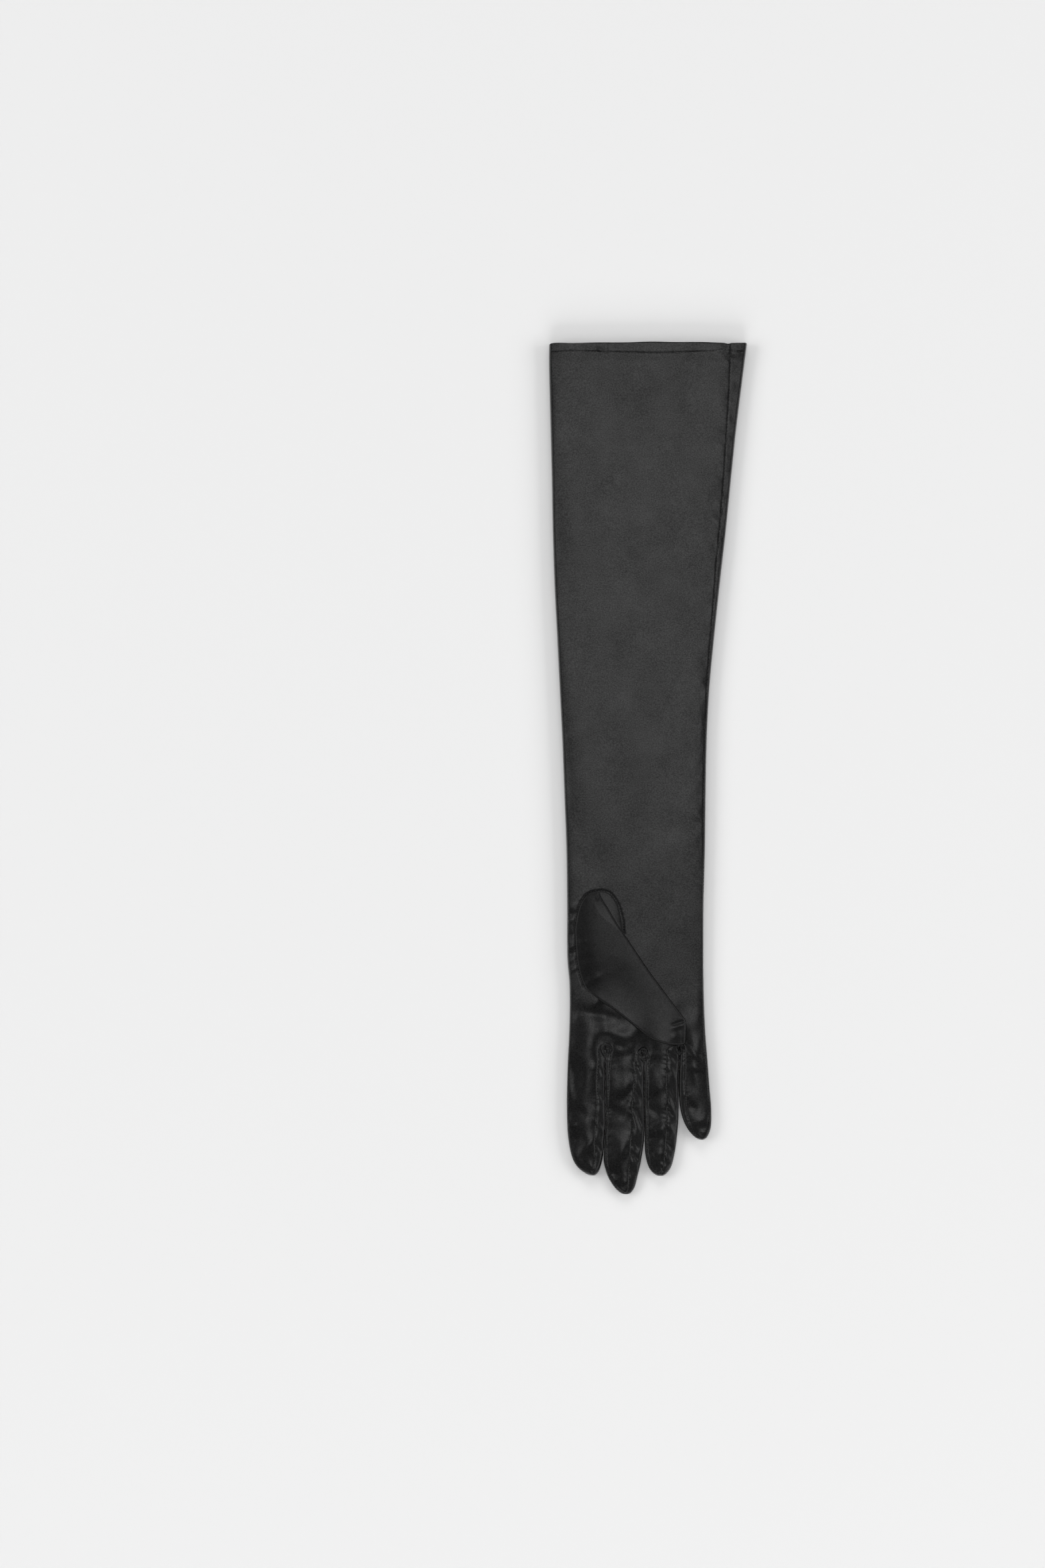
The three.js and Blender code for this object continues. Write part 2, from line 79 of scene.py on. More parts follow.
def place(x: float, y: float) -> Point:
    """Args:
        x: a column of the photograph.
        y: a row of the photograph.

    Returns:
        The plan place that is seen there.
    """
    return (x - PALM_PIXEL[0]) * PIXEL, (PALM_PIXEL[1] - y) * PIXEL


def places(*pixels: Point) -> list[Point]:
    """Args:
        pixels: columns and rows of the photograph.

    Returns:
        The plan places that are seen there.
    """
    return [place(*pixel) for pixel in pixels]


def smooth(value: Array, low: float, high: float) -> Array:
    """Rises smoothly from 0 at low to 1 at high.

    Args:
        value: where to read the step.
        low: where it starts to rise.
        high: where it reaches 1.

    Returns:
        The step at each value.
    """
    share = np.clip((value - low) / (high - low), 0, 1)
    return share * share * (3 - 2 * share)


def ripple(plan: Array, scale: float, seed: int, waves: int = 7) -> Array:
    """Gives a soft random swell over the plan.

    Args:
        plan: points, the last axis holding x and y.
        scale: the usual length of a swell.
        seed: which swell.
        waves: how many plane waves are summed.

    Returns:
        Heights of about -1 to 1.
    """
    rng = np.random.default_rng(seed)
    angle = rng.uniform(0, TURN, waves)
    number = TURN / (scale * rng.uniform(0.7, 1.6, waves))
    phase = rng.uniform(0, TURN, waves)
    flow = plan[..., 0, None] * np.cos(angle) + plan[..., 1, None] * np.sin(angle)
    return np.sin(flow * number + phase).sum(-1) / math.sqrt(waves) / 1.4


class PlanLine:
    """A smooth line on the plan through a few chosen points."""

    def __init__(self, points: Sequence[Point], steps: int = 14) -> None:
        """Args:
            points: the places that the line passes through.
            steps: how many short pieces each stretch is cut into.
        """
        given = np.array(points, float)
        ends = np.vstack([2 * given[0] - given[1], given, 2 * given[-1] - given[-2]])
        share = np.linspace(0, 1, steps, endpoint=False)[:, None]
        parts = [self._stretch(ends[i : i + 4], share) for i in range(len(given) - 1)]
        self.dense = np.vstack([*parts, given[-1:]])
        steps_long = np.linalg.norm(np.diff(self.dense, axis=0), axis=1)
        self.run = np.concatenate([[0], np.cumsum(steps_long)])
        self.length = float(self.run[-1])

    @staticmethod
    def _stretch(four: Array, share: Array) -> Array:
        """Args:
            four: the stretch's two ends, with the points before and after them.
            share: how far along the stretch.

        Returns:
            Points on a curve that leaves and meets each end along its neighbours' direction.
        """
        before, start, end, after = four
        leave, meet = (end - before) / 2, (after - start) / 2
        square, cube = share**2, share**3
        bend = (2 * cube - 3 * square + 1) * start + (3 * square - 2 * cube) * end
        return bend + (cube - 2 * square + share) * leave + (cube - square) * meet

    def across(self, y: Array) -> Array:
        """Args:
            y: heights on the plan.

        Returns:
            Where the line, which runs down the plan, lies at each of them.
        """
        order = np.argsort(self.dense[:, 1], kind="stable")
        return np.interp(y, self.dense[order, 1], self.dense[order, 0])

    def at(self, share: Array) -> Array:
        """Args:
            share: how far along the whole line, from 0 to 1.

        Returns:
            The plan points there.
        """
        spot = np.clip(share, 0, 1) * self.length
        return np.stack([np.interp(spot, self.run, self.dense[:, i]) for i in range(2)], -1)

    def heading(self, share: Array) -> Array:
        """Args:
            share: how far along the whole line.

        Returns:
            The unit direction of the line there.
        """
        ahead = self.at(np.clip(share + 0.004, 0, 1)) - self.at(np.clip(share - 0.004, 0, 1))
        return ahead / np.maximum(np.linalg.norm(ahead, axis=-1, keepdims=True), 1e-9)

    def near(self, plan: Array, reach: float) -> tuple[Array, Array, Array]:
        """Finds the points that lie near the line.

        Args:
            plan: points of shape (count, 2).
            reach: the largest distance that matters.

        Returns:
            The index of each near point, its distance, signed to tell the line's two sides, and
            how far along the line it lies, in millimetres.
        """
        low, high = self.dense.min(0) - reach, self.dense.max(0) + reach
        index = np.flatnonzero(((plan > low) & (plan < high)).all(1))
        start, step = self.dense[:-1], np.diff(self.dense, axis=0)
        size = np.maximum((step**2).sum(1), 1e-12)
        found = [np.zeros(0, int), np.zeros(0), np.zeros(0)]
        for part in np.array_split(index, max(1, len(index) // 20000)):
            if not len(part):
                continue
            apart = plan[part][:, None, :] - start
            share = np.clip((apart * step).sum(-1) / size, 0, 1)
            off = apart - share[..., None] * step
            gap = (off**2).sum(-1)
            best = gap.argmin(1)
            row = np.arange(len(part))
            turn = step[best, 0] * off[row, best, 1] - step[best, 1] * off[row, best, 0]
            distance = np.sqrt(gap[row, best])
            keep = distance < reach
            along = self.run[best] + share[row, best] * np.sqrt(size[best])
            signed = np.where(turn < 0, -distance, distance)
            found = [np.concatenate(pair) for pair in zip(found, (part[keep], signed[keep], along[keep]))]
        return found[0], found[1], found[2]


@dataclass(frozen=True)
class Crease:
    """A soft ridge on the plan, or a dip where its height is below zero.

    Attributes:
        start: where it begins.
        end: where it ends.
        width: how wide it is to each side.
        height: how high it stands in the middle.
    """

    start: Point
    end: Point
    width: float
    height: float

    def lift(self, plan: Array) -> Array:
        """Args:
            plan: points of shape (count, 2).

        Returns:
            The height that the crease adds at each point.
        """
        start, axis = np.array(self.start), np.subtract(self.end, self.start)
        share = np.clip(((plan - start) @ axis) / (axis @ axis), 0, 1)
        off = plan - start - share[:, None] * axis
        swell = 0.3 + 0.7 * np.sin(math.pi * share) ** 0.7
        return self.height * swell * np.exp(-(off**2).sum(1) / self.width**2)


def creases(*rows: tuple[float, ...]) -> tuple[Crease, ...]:
    """Makes creases at places of the photograph.

    Args:
        rows: each one's first column and row, its last column and row, its width and its height.

    Returns:
        The creases.
    """
    return tuple(Crease(place(*row[:2]), place(*row[2:4]), *row[4:]) for row in rows)


@dataclass
class Seam:
    """A stitched line, with the groove that its thread pulls and the puckers beside it.

    Attributes:
        name: what the seam joins.
        points: the places that it passes through.
        pitch: from one stitch to the next.
        depth: how deep the thread pulls the cloth in.
        width: how wide the groove is to each side.
        pucker: how high the puckers stand beside it.
        reach: how far the puckers run out to each side.
        gather: from one large pucker to the next.
    """

    name: str
    points: Sequence[Point]
    pitch: float = 1.8
    depth: float = 0.28
    width: float = 0.5
    pucker: float = 0.16
    reach: float = 2.6
    gather: float = 5.2
    line: PlanLine = field(init=False)

    def __post_init__(self) -> None:
        """Draws the line."""
        self.line = PlanLine(self.points)

    def lift(self, plan: Array) -> Array:
        """Args:
            plan: points of shape (count, 2).

        Returns:
            The height that the groove and its puckers add at each point.
        """
        result = np.zeros(len(plan))
        index, off, along = self.line.near(plan, 4 * self.reach)
        gap = np.abs(off)
        seed = sum(map(ord, self.name))
        drift = ripple(np.stack([along, 0 * along], -1), 4 * self.gather, seed)
        side = np.where(off > 0, 0.0, 0.5)
        small = np.cos(TURN * (along / self.pitch + side))
        large = np.cos(TURN * (along / self.gather + 0.35 * side + 0.9 * drift) + 0.5 * gap)
        fade = np.exp(-((gap / self.reach) ** 2))
        beat = 1 + 0.25 * np.cos(TURN * along / self.pitch)
        groove = -self.depth * np.exp(-((gap / self.width) ** 2)) * beat
        ends = smooth(along, 0, 3) * smooth(self.line.length - along, 0, 3)
        swell = 0.45 * small * np.exp(-gap / 0.8) + large * fade * smooth(gap, 0, 1)
        result[index] = groove + self.pucker * swell * ends * (0.7 + 0.5 * drift)
        return result


def spread(low: float, high: float, count: int, density: Callable[[Array], Array]) -> Array:
    """Spreads points over a length, closer together where the density is high.

    Args:
        low: the first point.
        high: the last point.
        count: how many gaps lie between the points.
        density: how dense the points are at a place.

    Returns:
        The count + 1 points.
    """
    fine = np.linspace(low, high, 1200)
    mass = np.concatenate([[0], np.cumsum(density((fine[1:] + fine[:-1]) / 2))])
    return np.interp(np.linspace(0, mass[-1], count + 1), mass, fine)


def eased(count: int, tight: float = 0.5) -> Array:
    """Args:
        count: how many gaps.
        tight: how much closer together the first and last points are.

    Returns:
        The shares from 0 to 1.
    """
    share = np.linspace(0, 1, count + 1)
    return share - tight * np.sin(TURN * share) / TURN


def blend(start: Array, end: Array, share: Array) -> Array:
    """Args:
        start: values at share 0, of shape (rows, ...).
        end: values at share 1.
        share: the shares across.

    Returns:
        Values of shape (rows, shares, ...).
    """
    share = share.reshape(1, -1, *([1] * (start.ndim - 1)))
    return start[:, None] * (1 - share) + end[:, None] * share


# Outlines and seams, down the glove.
LEFT_EDGE = places(
    (823.5, 500), (824, 514), (824, 554), (826, 634), (828, 714), (829.5, 794), (832, 874), (836, 954),
    (840, 1034), (844, 1114), (847, 1194), (850, 1274), (851, 1354), (851.3, 1434), (854.5, 1474),
    (855, 1514), (854, 1554), (852, 1594), (850.8, 1634), (850.6, 1660), (851.5, 1695), (854.5, 1720),
    (859, 1738), (865, 1749), (872, 1756), (881, 1761.8), (886.5, 1763.6), (890, 1764),
)
RIGHT_EDGE = places(
    (1123, 500), (1121, 514), (1116, 554), (1106, 634), (1097.5, 714), (1089.5, 794), (1080.5, 874),
    (1072, 954), (1064.5, 1034), (1060.5, 1114), (1059, 1194), (1058, 1274), (1056, 1354), (1055.6, 1434),
    (1056, 1474), (1057, 1514), (1059, 1554), (1062, 1594), (1065, 1634), (1067.3, 1660), (1067.4, 1685),
    (1065, 1698), (1061, 1706), (1057.5, 1709), (1055.2, 1710), (1053, 1710.2),
)
SIDE_SEAM = places(
    (1096.5, 516), (1096, 538), (1095, 570), (1093, 610), (1091, 638), (1086, 719), (1080, 792),
    (1075, 845), (1070, 911), (1065, 971), (1061, 1025), (1057, 1128), (1055, 1217), (1055.5, 1290),
    (1056, 1345),
)
HEM_SEAM = places(
    (825, 530), (855, 527), (900, 528), (950, 529.5), (996, 530), (1066, 527), (1082, 524.5), (1098, 526),
    (1118, 529),
)
CROTCHES = places((909.5, 1566), (965, 1573), (1022, 1565))
THUMB_SEAM = places(
    (877, 1482), (871, 1467), (865, 1441), (862, 1400), (862.5, 1387), (866, 1368), (871, 1354),
    (880, 1342), (889, 1337.5), (901, 1336), (911, 1337.5), (919, 1343), (928, 1357), (932, 1370),
    (935, 1384), (936, 1400),
)
HIDDEN_SEAM = places((936, 1400), (934, 1425), (924, 1452), (905, 1475), (890, 1483), (877, 1482))


@dataclass
class Finger:
    """One finger's outline and seams, from the crotches down to its tip.

    Attributes:
        name: which finger.
        left: its edge on the thumb's side.
        right: its edge on the outer side.
        left_seam: the seam of the side strip on the thumb's side, where there is one.
        right_seam: the seam of the side strip on the outer side, where there is one.
        columns: how many gaps the grid has across the finger's face.
        rows: how many gaps it has along the finger.
        strips: the names of the side strips to its left and right.
    """

    name: str
    left: Sequence[Point]
    right: Sequence[Point]
    left_seam: Sequence[Point] | None
    right_seam: Sequence[Point] | None
    columns: int
    rows: int
    strips: tuple[str | None, str | None]

    def tip(self) -> Point:
        """Returns the plan place of the tip."""
        return self.left[-1]


FIRST_GAP = places((909.5, 1566), (908, 1582), (908.3, 1630), (909, 1681), (907, 1715))
SECOND_GAP = places((965, 1573), (966, 1598), (967, 1650), (967.3, 1698))
THIRD_GAP = places((1022, 1565), (1020, 1580), (1018.7, 1610), (1018.5, 1640))
APART = 0.16  # from a gap's middle to each finger


def shifted(points: Sequence[Point], by: float) -> list[Point]:
    """Args:
        points: a line on the plan that starts at a crotch.
        by: how far to move it to the right, except its first point.

    Returns:
        The moved line.
    """
    return [points[0], *((x + by, y) for x, y in points[1:])]


FINGERS = (
    Finger(
        "index",
        [place(854, 1566), *[point for point in LEFT_EDGE if point[1] < -5]],
        [
            *shifted(FIRST_GAP, -APART),
            *places(
                (905, 1733), (902.5, 1746), (899, 1756.5), (894.5, 1762.4),
                (892.2, 1763.7), (890, 1764),
            ),
        ],
        None,
        places(
            (909.5, 1566), (903, 1568), (899.8, 1573), (898, 1580), (897, 1610), (896, 1652), (894, 1700),
            (892.5, 1735), (891, 1753), (890, 1764),
        ),
        34, 112, (None, "index_middle"),
    ),
    Finger(
        "middle",
        [
            *shifted(FIRST_GAP, APART),
            *places(
                (906, 1740), (909, 1756), (914, 1769), (923, 1782.5),
                (931, 1789.7), (936.5, 1791.7), (940, 1792),
            ),
        ],
        [
            *shifted(SECOND_GAP, -APART),
            *places(
                (965, 1722), (961, 1747), (957, 1764), (953, 1780),
                (947.5, 1789), (943.2, 1791.5), (940, 1792),
            ),
        ],
        places(
            (909.5, 1566), (915, 1568), (917.8, 1574), (916.5, 1584), (914.5, 1605), (912.5, 1631),
            (911.5, 1681), (910.5, 1715), (910, 1740), (913, 1757), (918, 1770), (926, 1782), (940, 1792),
        ),
        places(
            (965, 1573), (958.7, 1575.5), (956, 1581), (954, 1588), (952, 1626), (950, 1657), (948, 1703),
            (944.5, 1755), (944, 1780), (940, 1792),
        ),
        34, 124, ("index_middle", "middle_ring"),
    ),
    Finger(
        "ring",
        [
            *shifted(SECOND_GAP, APART),
            *places(
                (968, 1726), (970, 1740), (973.5, 1751), (978.5, 1758.5),
                (984, 1762.7), (988.5, 1764.3), (992, 1764.5),
            ),
        ],
        [
            *shifted(THIRD_GAP, -APART),
            *places(
                (1018, 1678), (1015.5, 1710), (1012, 1733), (1007.5, 1750),
                (1001, 1760), (995.5, 1764), (992, 1764.5),
            ),
        ],
        places(
            (965, 1573), (970.5, 1575.5), (973, 1582), (973, 1592), (972, 1610), (971.5, 1665),
            (971, 1714), (973, 1738), (978, 1753), (992, 1764.5),
        ),
        places(
            (1022, 1565), (1013, 1567), (1005.5, 1571), (1002, 1580), (1001, 1623), (1002, 1660),
            (1000, 1712), (997.5, 1744), (995.5, 1756), (992, 1764.5),
        ),
        32, 112, ("middle_ring", "ring_little"),
    ),
    Finger(
        "little",
        [
            *shifted(THIRD_GAP, APART),
            *places(
                (1020.5, 1660), (1024.5, 1678), (1032, 1694), (1041, 1704.5),
                (1047.5, 1708.9), (1053, 1710.2),
            ),
        ],
        [place(1059.7, 1565), *[point for point in RIGHT_EDGE if point[1] < -5]],
        places(
            (1022, 1565), (1026, 1568), (1027.5, 1578), (1028, 1626), (1029.5, 1660), (1033, 1680),
            (1041, 1699), (1053, 1710.2),
        ),
        None,
        28, 86, ("ring_little", None),
    ),
)

OUTER_SEAM = places(
    (1054.8, 1526), (1055.7, 1540), (1058, 1578), (1060.3, 1602.5), (1062.8, 1633), (1063.8, 1655),
    (1063.9, 1675), (1062.6, 1690),
)
FINGER_SEAMS = (
    *(
        Seam(f"{finger.name} {side}", line, pucker=0.2)
        for finger in FINGERS
        for side, line in (("left", finger.left_seam), ("right", finger.right_seam))
        if line
    ),
    Seam("little outer", OUTER_SEAM, depth=0.16, width=0.35, pucker=0.07, reach=1.6),
)
SIDE = Seam("side", SIDE_SEAM, pitch=2.2, depth=0.16, pucker=0.09, reach=4.0, gather=9.0)
HEM = Seam("hem", HEM_SEAM, pitch=2.0, depth=0.17, pucker=0.07, reach=2.6, gather=7.5)
THUMB_HOLE = Seam("thumb", THUMB_SEAM, pitch=1.7, depth=0.42, pucker=0.06, reach=2.4, gather=4.6)

# Each row: the column and row where a crease begins, those where it ends, its width and its height.
PALM_CREASES = creases(
    # Gathers at the fold beside the thumb.
    (850, 1362, 864, 1358, 2.0, 0.17),
    (850, 1371, 864, 1371, 1.8, -0.3),
    (850, 1381, 862, 1380, 1.4, 0.26),
    (850, 1405, 861, 1400, 3.4, -0.33),
    (850, 1423, 863, 1417, 1.3, 0.3),
    (850, 1432, 863, 1429, 1.5, -0.3),
    (850, 1443, 864, 1438, 1.8, 0.26),
    (850, 1460, 868, 1449, 1.6, 0.3),
    # Below the thumb.
    (900, 1494, 890, 1510, 2.6, 0.36),
    (872, 1518, 934, 1529, 3.4, -0.72),
    (894, 1549, 944, 1553, 3.6, 0.84),
    (866, 1500, 862, 1566, 4.0, -0.36),
    (1047, 1608, 1048, 1596, 9.0, 0.45),
    (1042, 1574, 1035, 1582, 10.0, 0.55),
    (922, 1566, 938, 1570, 2.6, -0.5),
    (944, 1573, 964, 1566, 2.8, 0.58),
    (968, 1572, 992, 1576, 3.0, -0.43),
    # The wrist and the sleeve.
    (860, 1300, 930, 1280, 9.0, -0.25),
    (1050, 1250, 980, 1235, 8.0, -0.2),
    (1085, 760, 1040, 800, 8.0, -0.25),
    # Where the hem's turning meets itself.
    (897, 521, 904, 530, 1.1, 0.3),
    (909.5, 515, 909.5, 531, 0.6, -0.28),
)
FINGER_CREASES = {
    "index": creases(
        (884, 1604, 900, 1598, 2.8, 0.33),
        (858, 1600, 866, 1650, 3.0, -0.33),
        (850, 1689, 866, 1686, 2.2, 0.53),
        (866, 1664, 882, 1676, 2.8, -0.46),
        (894, 1706, 872, 1730, 2.6, 0.59),
        (862, 1706, 872, 1712, 2.2, -0.33),
        (866, 1738, 880, 1752, 2.2, -0.4),
        (850, 1696, 859, 1697, 0.8, -0.4),
    ),
    "middle": creases(
        (912, 1588, 940, 1584, 3.0, -0.66),
        (956, 1614, 922, 1644, 4.2, 0.62),
        (950, 1628, 936, 1656, 2.2, -0.53),
        (908, 1663, 938, 1673, 3.6, -0.86),
        (944, 1716, 914, 1742, 4.4, 0.62),
        (946, 1716, 938, 1744, 2.4, -0.46),
        (918, 1756, 934, 1766, 2.8, -0.53),
        (944, 1768, 932, 1782, 2.2, 0.4),
    ),
    "ring": creases(
        (972, 1594, 992, 1588, 3.0, -0.46),
        (982, 1638, 998, 1628, 3.0, 0.46),
        (974, 1664, 990, 1668, 2.8, -0.66),
        (982, 1696, 998, 1690, 2.6, 0.73),
        (974, 1708, 990, 1705, 2.0, -0.46),
        (980, 1734, 998, 1729, 2.6, 0.66),
        (980, 1752, 992, 1756, 2.0, -0.33),
    ),
    "little": creases(
        (1040, 1624, 1062, 1618, 6.0, 0.35),
        (1034, 1600, 1036, 1640, 2.8, -0.26),
        (1034, 1656, 1046, 1668, 2.8, -0.59),
        (1046, 1684, 1064, 1676, 2.4, 0.46),
        (1052, 1698, 1063, 1698, 1.6, 0.4),
    ),
}
STRIP_CREASES = creases(
    (951, 1592, 961, 1612, 1.1, -0.8),
    (953, 1618, 962, 1640, 1.3, 0.64),
    (951, 1628, 960, 1656, 1.0, -0.64),
    (950, 1655, 964, 1694, 1.2, -0.96),
    (949, 1670, 958, 1700, 1.2, 0.64),
    (948, 1693, 956, 1706, 1.0, 0.48),
    (948, 1710, 957, 1724, 1.0, -0.88),
    (947, 1728, 959, 1742, 1.0, -0.88),
    (947, 1738, 956, 1752, 1.0, 0.56),
    (946, 1753, 955, 1763, 1.0, -0.64),
    (1003, 1578, 1017, 1594, 1.2, -0.8),
    (1003, 1598, 1014, 1620, 1.5, 0.56),
    (1001, 1628, 1013, 1658, 1.1, -0.88),
    (1001, 1646, 1012, 1674, 1.2, 0.64),
    (1001, 1660, 1009, 1676, 1.0, -0.72),
    (1000, 1684, 1012, 1700, 1.2, 0.56),
    (1000, 1711, 1011, 1726, 1.0, -0.88),
    (998, 1732, 1008, 1744, 1.0, 0.56),
    (899, 1600, 906, 1616, 1.1, -0.56),
    (898, 1634, 906, 1652, 1.1, -0.56),
    (896, 1684, 906, 1700, 1.1, 0.56),
    (894, 1712, 904, 1730, 1.1, -0.64),
)


class Cloth:
    """Heights of the flat glove's two layers over the plan."""

    LOFT_AT = (
        (-98, 5.6), (-70, 6.0), (0, 6.4), (9, 6.45), (18, 6.54), (28, 6.66), (38, 6.79), (50, 6.95),
        (65, 7.13), (85, 7.33), (105, 7.47), (130, 7.57), (160, 7.6), (436, 7.6), (440, 7.7),
        (447, 8.3), (455, 8.3),
    )
    CROWNS = {"index": (1.45, 0.9), "middle": (0.8, 0.1), "ring": (1.25, 0.5), "little": (0.95, 0.15)}
    ROUNDING_AT = ((-98, 1.9), (-72, 1.7), (-55, 1.3), (-3, 1.25), (10, 1.4), (455, 1.4))
    MIDDLE_AT = ((-98, 0.5), (-80, 0.56), (-50, 0.66), (-6, 0.66), (6, 0.47), (455, 0.45))
    CROTCH_DEPTHS = (1.5, 1.5, 0.4)

    def __init__(self) -> None:
        """Draws the outline's lines once."""
        self.left = PlanLine(LEFT_EDGE, 8)
        self.right = PlanLine(RIGHT_EDGE, 8)
        self.side = PlanLine(SIDE_SEAM, 8)
        self.fingers = {
            finger.name: (
                self.left if finger.left_seam is None else PlanLine(finger.left),
                self.right if finger.right_seam is None else PlanLine(finger.right),
            )
            for finger in FINGERS
        }

    def crown(self, plan: Array) -> Array:
        """Args:
            plan: points of shape (count, 2).

        Returns:
            How far the fingers swell, fading out over the palm.
        """
        x, y = plan.T
        low = np.minimum(y, -2.0)
        result = np.zeros(len(plan))
        for name, (height, skew) in self.CROWNS.items():
            left, right = (edge.across(low) for edge in self.fingers[name])
            across = np.clip((2 * x - left - right) / np.maximum(right - left, 0.1), -1, 1)
            result += (1 - across**2) ** 1.5 * (height + skew * across)
        over_palm = smooth(y, -4, 52)
        return result * (1 - over_palm * (2 - over_palm)) * smooth(y, -97, -84)

    @staticmethod
    def along(table: Sequence[Point], y: Array) -> Array:
        """Args:
            table: heights on the plan, each with a size there.
            y: heights on the plan.

        Returns:
            The size at each of them.
        """
        at, size = np.array(table).T
        return np.interp(y, at, size)

    def loft(self, y: Array) -> Array:
        """Args:
            y: heights on the plan.

        Returns:
            How high the glove stands there.
        """
        return self.along(self.LOFT_AT, y)

    @staticmethod
    def distance(plan: Array, lines: Sequence[PlanLine], reach: float = 14.0) -> Array:
        """Args:
            plan: points of shape (count, 2).
            lines: the outline's lines.
            reach: the largest distance that matters.

        Returns:
            The distance from each point to the nearest line, at most the reach.
        """
        result = np.full(len(plan), reach)
        for line in lines:
            index, off, _ = line.near(plan, reach)
            result[index] = np.minimum(result[index], np.abs(off))
        return result

    def base(self, plan: Array, gap: Array, side: Side, inset: float = 0.0) -> Array:
        """Gives the smooth height of a layer, before its folds.

        Args:
            plan: points of shape (count, 2).
            gap: each point's distance from the outline.
            side: which layer.
            inset: how far inside the cloth the surface lies.

        Returns:
            The heights.
        """
        loft = self.loft(plan[:, 1])
        middle = self.along(self.MIDDLE_AT, plan[:, 1]) * loft
        rounding = self.along(self.ROUNDING_AT, plan[:, 1])
        share = np.clip(gap / np.maximum(rounding - inset, 1.0), 0, 1)
        curve = np.sqrt(1 - (1 - share) ** 2)
        if side is Side.BACK:
            return middle - (middle - inset) * curve
        pillow = 0.9 * (1 - np.exp(-gap / 9)) - 0.65
        return middle + (loft - middle - inset) * curve + pillow * curve

    def resting(self, plan: Array, gap: Array) -> Array:
        """Args:
            plan: points of shape (count, 2).
            gap: each point's distance from the outline.

        Returns:
            The palm layer's heights before its folds and seams.
        """
        return self.base(plan, gap, Side.PALM) - self.crotch_dip(plan) + self.crown(plan)

    def crotch_dip(self, plan: Array) -> Array:
        """Args:
            plan: points of shape (count, 2).

        Returns:
            How far the cloth sinks towards the crotches.
        """
        dip = np.zeros(len(plan))
        for (x, y), depth in zip(CROTCHES, self.CROTCH_DEPTHS):
            reach = np.hypot((plan[:, 0] - x) / 5.2, (plan[:, 1] - y + 2.6) / 7.5)
            dip += depth * np.exp(-(reach**2))
        return dip

    def palm(self, plan: Array, gap: Array) -> Array:
        """Args:
            plan: points of shape (count, 2) on the sleeve and palm.
            gap: each point's distance from the outline.

        Returns:
            The palm layer's heights.
        """
        soft = np.clip(gap / 4, 0, 1)
        z = self.resting(plan, gap)
        stretched = plan * (1, 0.45)
        z += 0.16 * soft * ripple(stretched, 30, 3) * smooth(plan[:, 1], 0, 40)
        z += 0.3 * soft * ripple(plan, 17, 8) * (1 - smooth(plan[:, 1], 5, 50))
        fine = np.exp(-((self.side.across(plan[:, 1]) - plan[:, 0]) / 7) ** 2) * smooth(plan[:, 1], 90, 130)
        z += 0.14 * fine * ripple(plan * (0.6, 1), 5.5, 11)
        for crease in (*PALM_CREASES, *sum(FINGER_CREASES.values(), ())):
            z += crease.lift(plan) * np.clip(gap / 1.2, 0, 1)
        for seam in (SIDE, HEM, THUMB_HOLE, *FINGER_SEAMS):
            z += seam.lift(plan)
        return self.closed(z, plan, gap, Side.PALM)

    def finger(self, finger: Finger, plan: Array, gap: Array) -> Array:
        """Args:
            finger: which finger.
            plan: points of shape (count, 2) on it.
            gap: each point's distance from its outline.

        Returns:
            The palm layer's heights.
        """
        seed = sum(map(ord, finger.name))
        fade = 1 - smooth(plan[:, 1], -10, 0)
        soft = np.clip(gap / 2.5, 0, 1)
        z = self.resting(plan, gap)
        z += 0.3 * np.clip(gap / 4, 0, 1) * ripple(plan, 17, 8)
        z += 0.2 * soft * ripple(plan * (1, 0.6), 14, seed) * fade
        z += 0.025 * soft * ripple(plan, 5.5, seed + 1) * fade
        for crease in (*FINGER_CREASES[finger.name], *STRIP_CREASES, *PALM_CREASES):
            z += crease.lift(plan) * np.clip(gap / 1.2, 0, 1)
        for seam in FINGER_SEAMS:
            if seam.name.startswith(finger.name):
                z += seam.lift(plan)
        return self.closed(z, plan, gap, Side.PALM)

    def back(self, plan: Array, gap: Array) -> Array:
        """Args:
            plan: points of shape (count, 2).
            gap: each point's distance from the outline.

        Returns:
            The heights of the layer that lies on the table.
        """
        z = self.base(plan, gap, Side.BACK)
        soft = np.clip(gap / 5, 0, 1)
        z += 0.28 * soft * (1 + ripple(plan * (1, 0.4), 34, 21)) + 0.05 * soft * (1 + ripple(plan, 15, 27))
        for seam in FINGER_SEAMS:
            index, off, _ = seam.line.near(plan, 2.0)
            z[index] += 0.4 * np.exp(-((off / 0.6) ** 2))
        return self.closed(np.maximum(z, 0.0), plan, gap, Side.BACK)

    def closed(self, z: Array, plan: Array, gap: Array, side: Side) -> Array:
        """Args:
            z: the layer's heights, with its folds.
            plan: points of shape (count, 2).
            gap: each point's distance from the outline.
            side: which layer.

        Returns:
            The heights, with no fold on the outline itself, where the two layers meet.
        """
        plain = self.base(plan, gap, side)
        return plain + (z - plain) * smooth(gap, 0.02, 0.7)


CLOTH = Cloth()


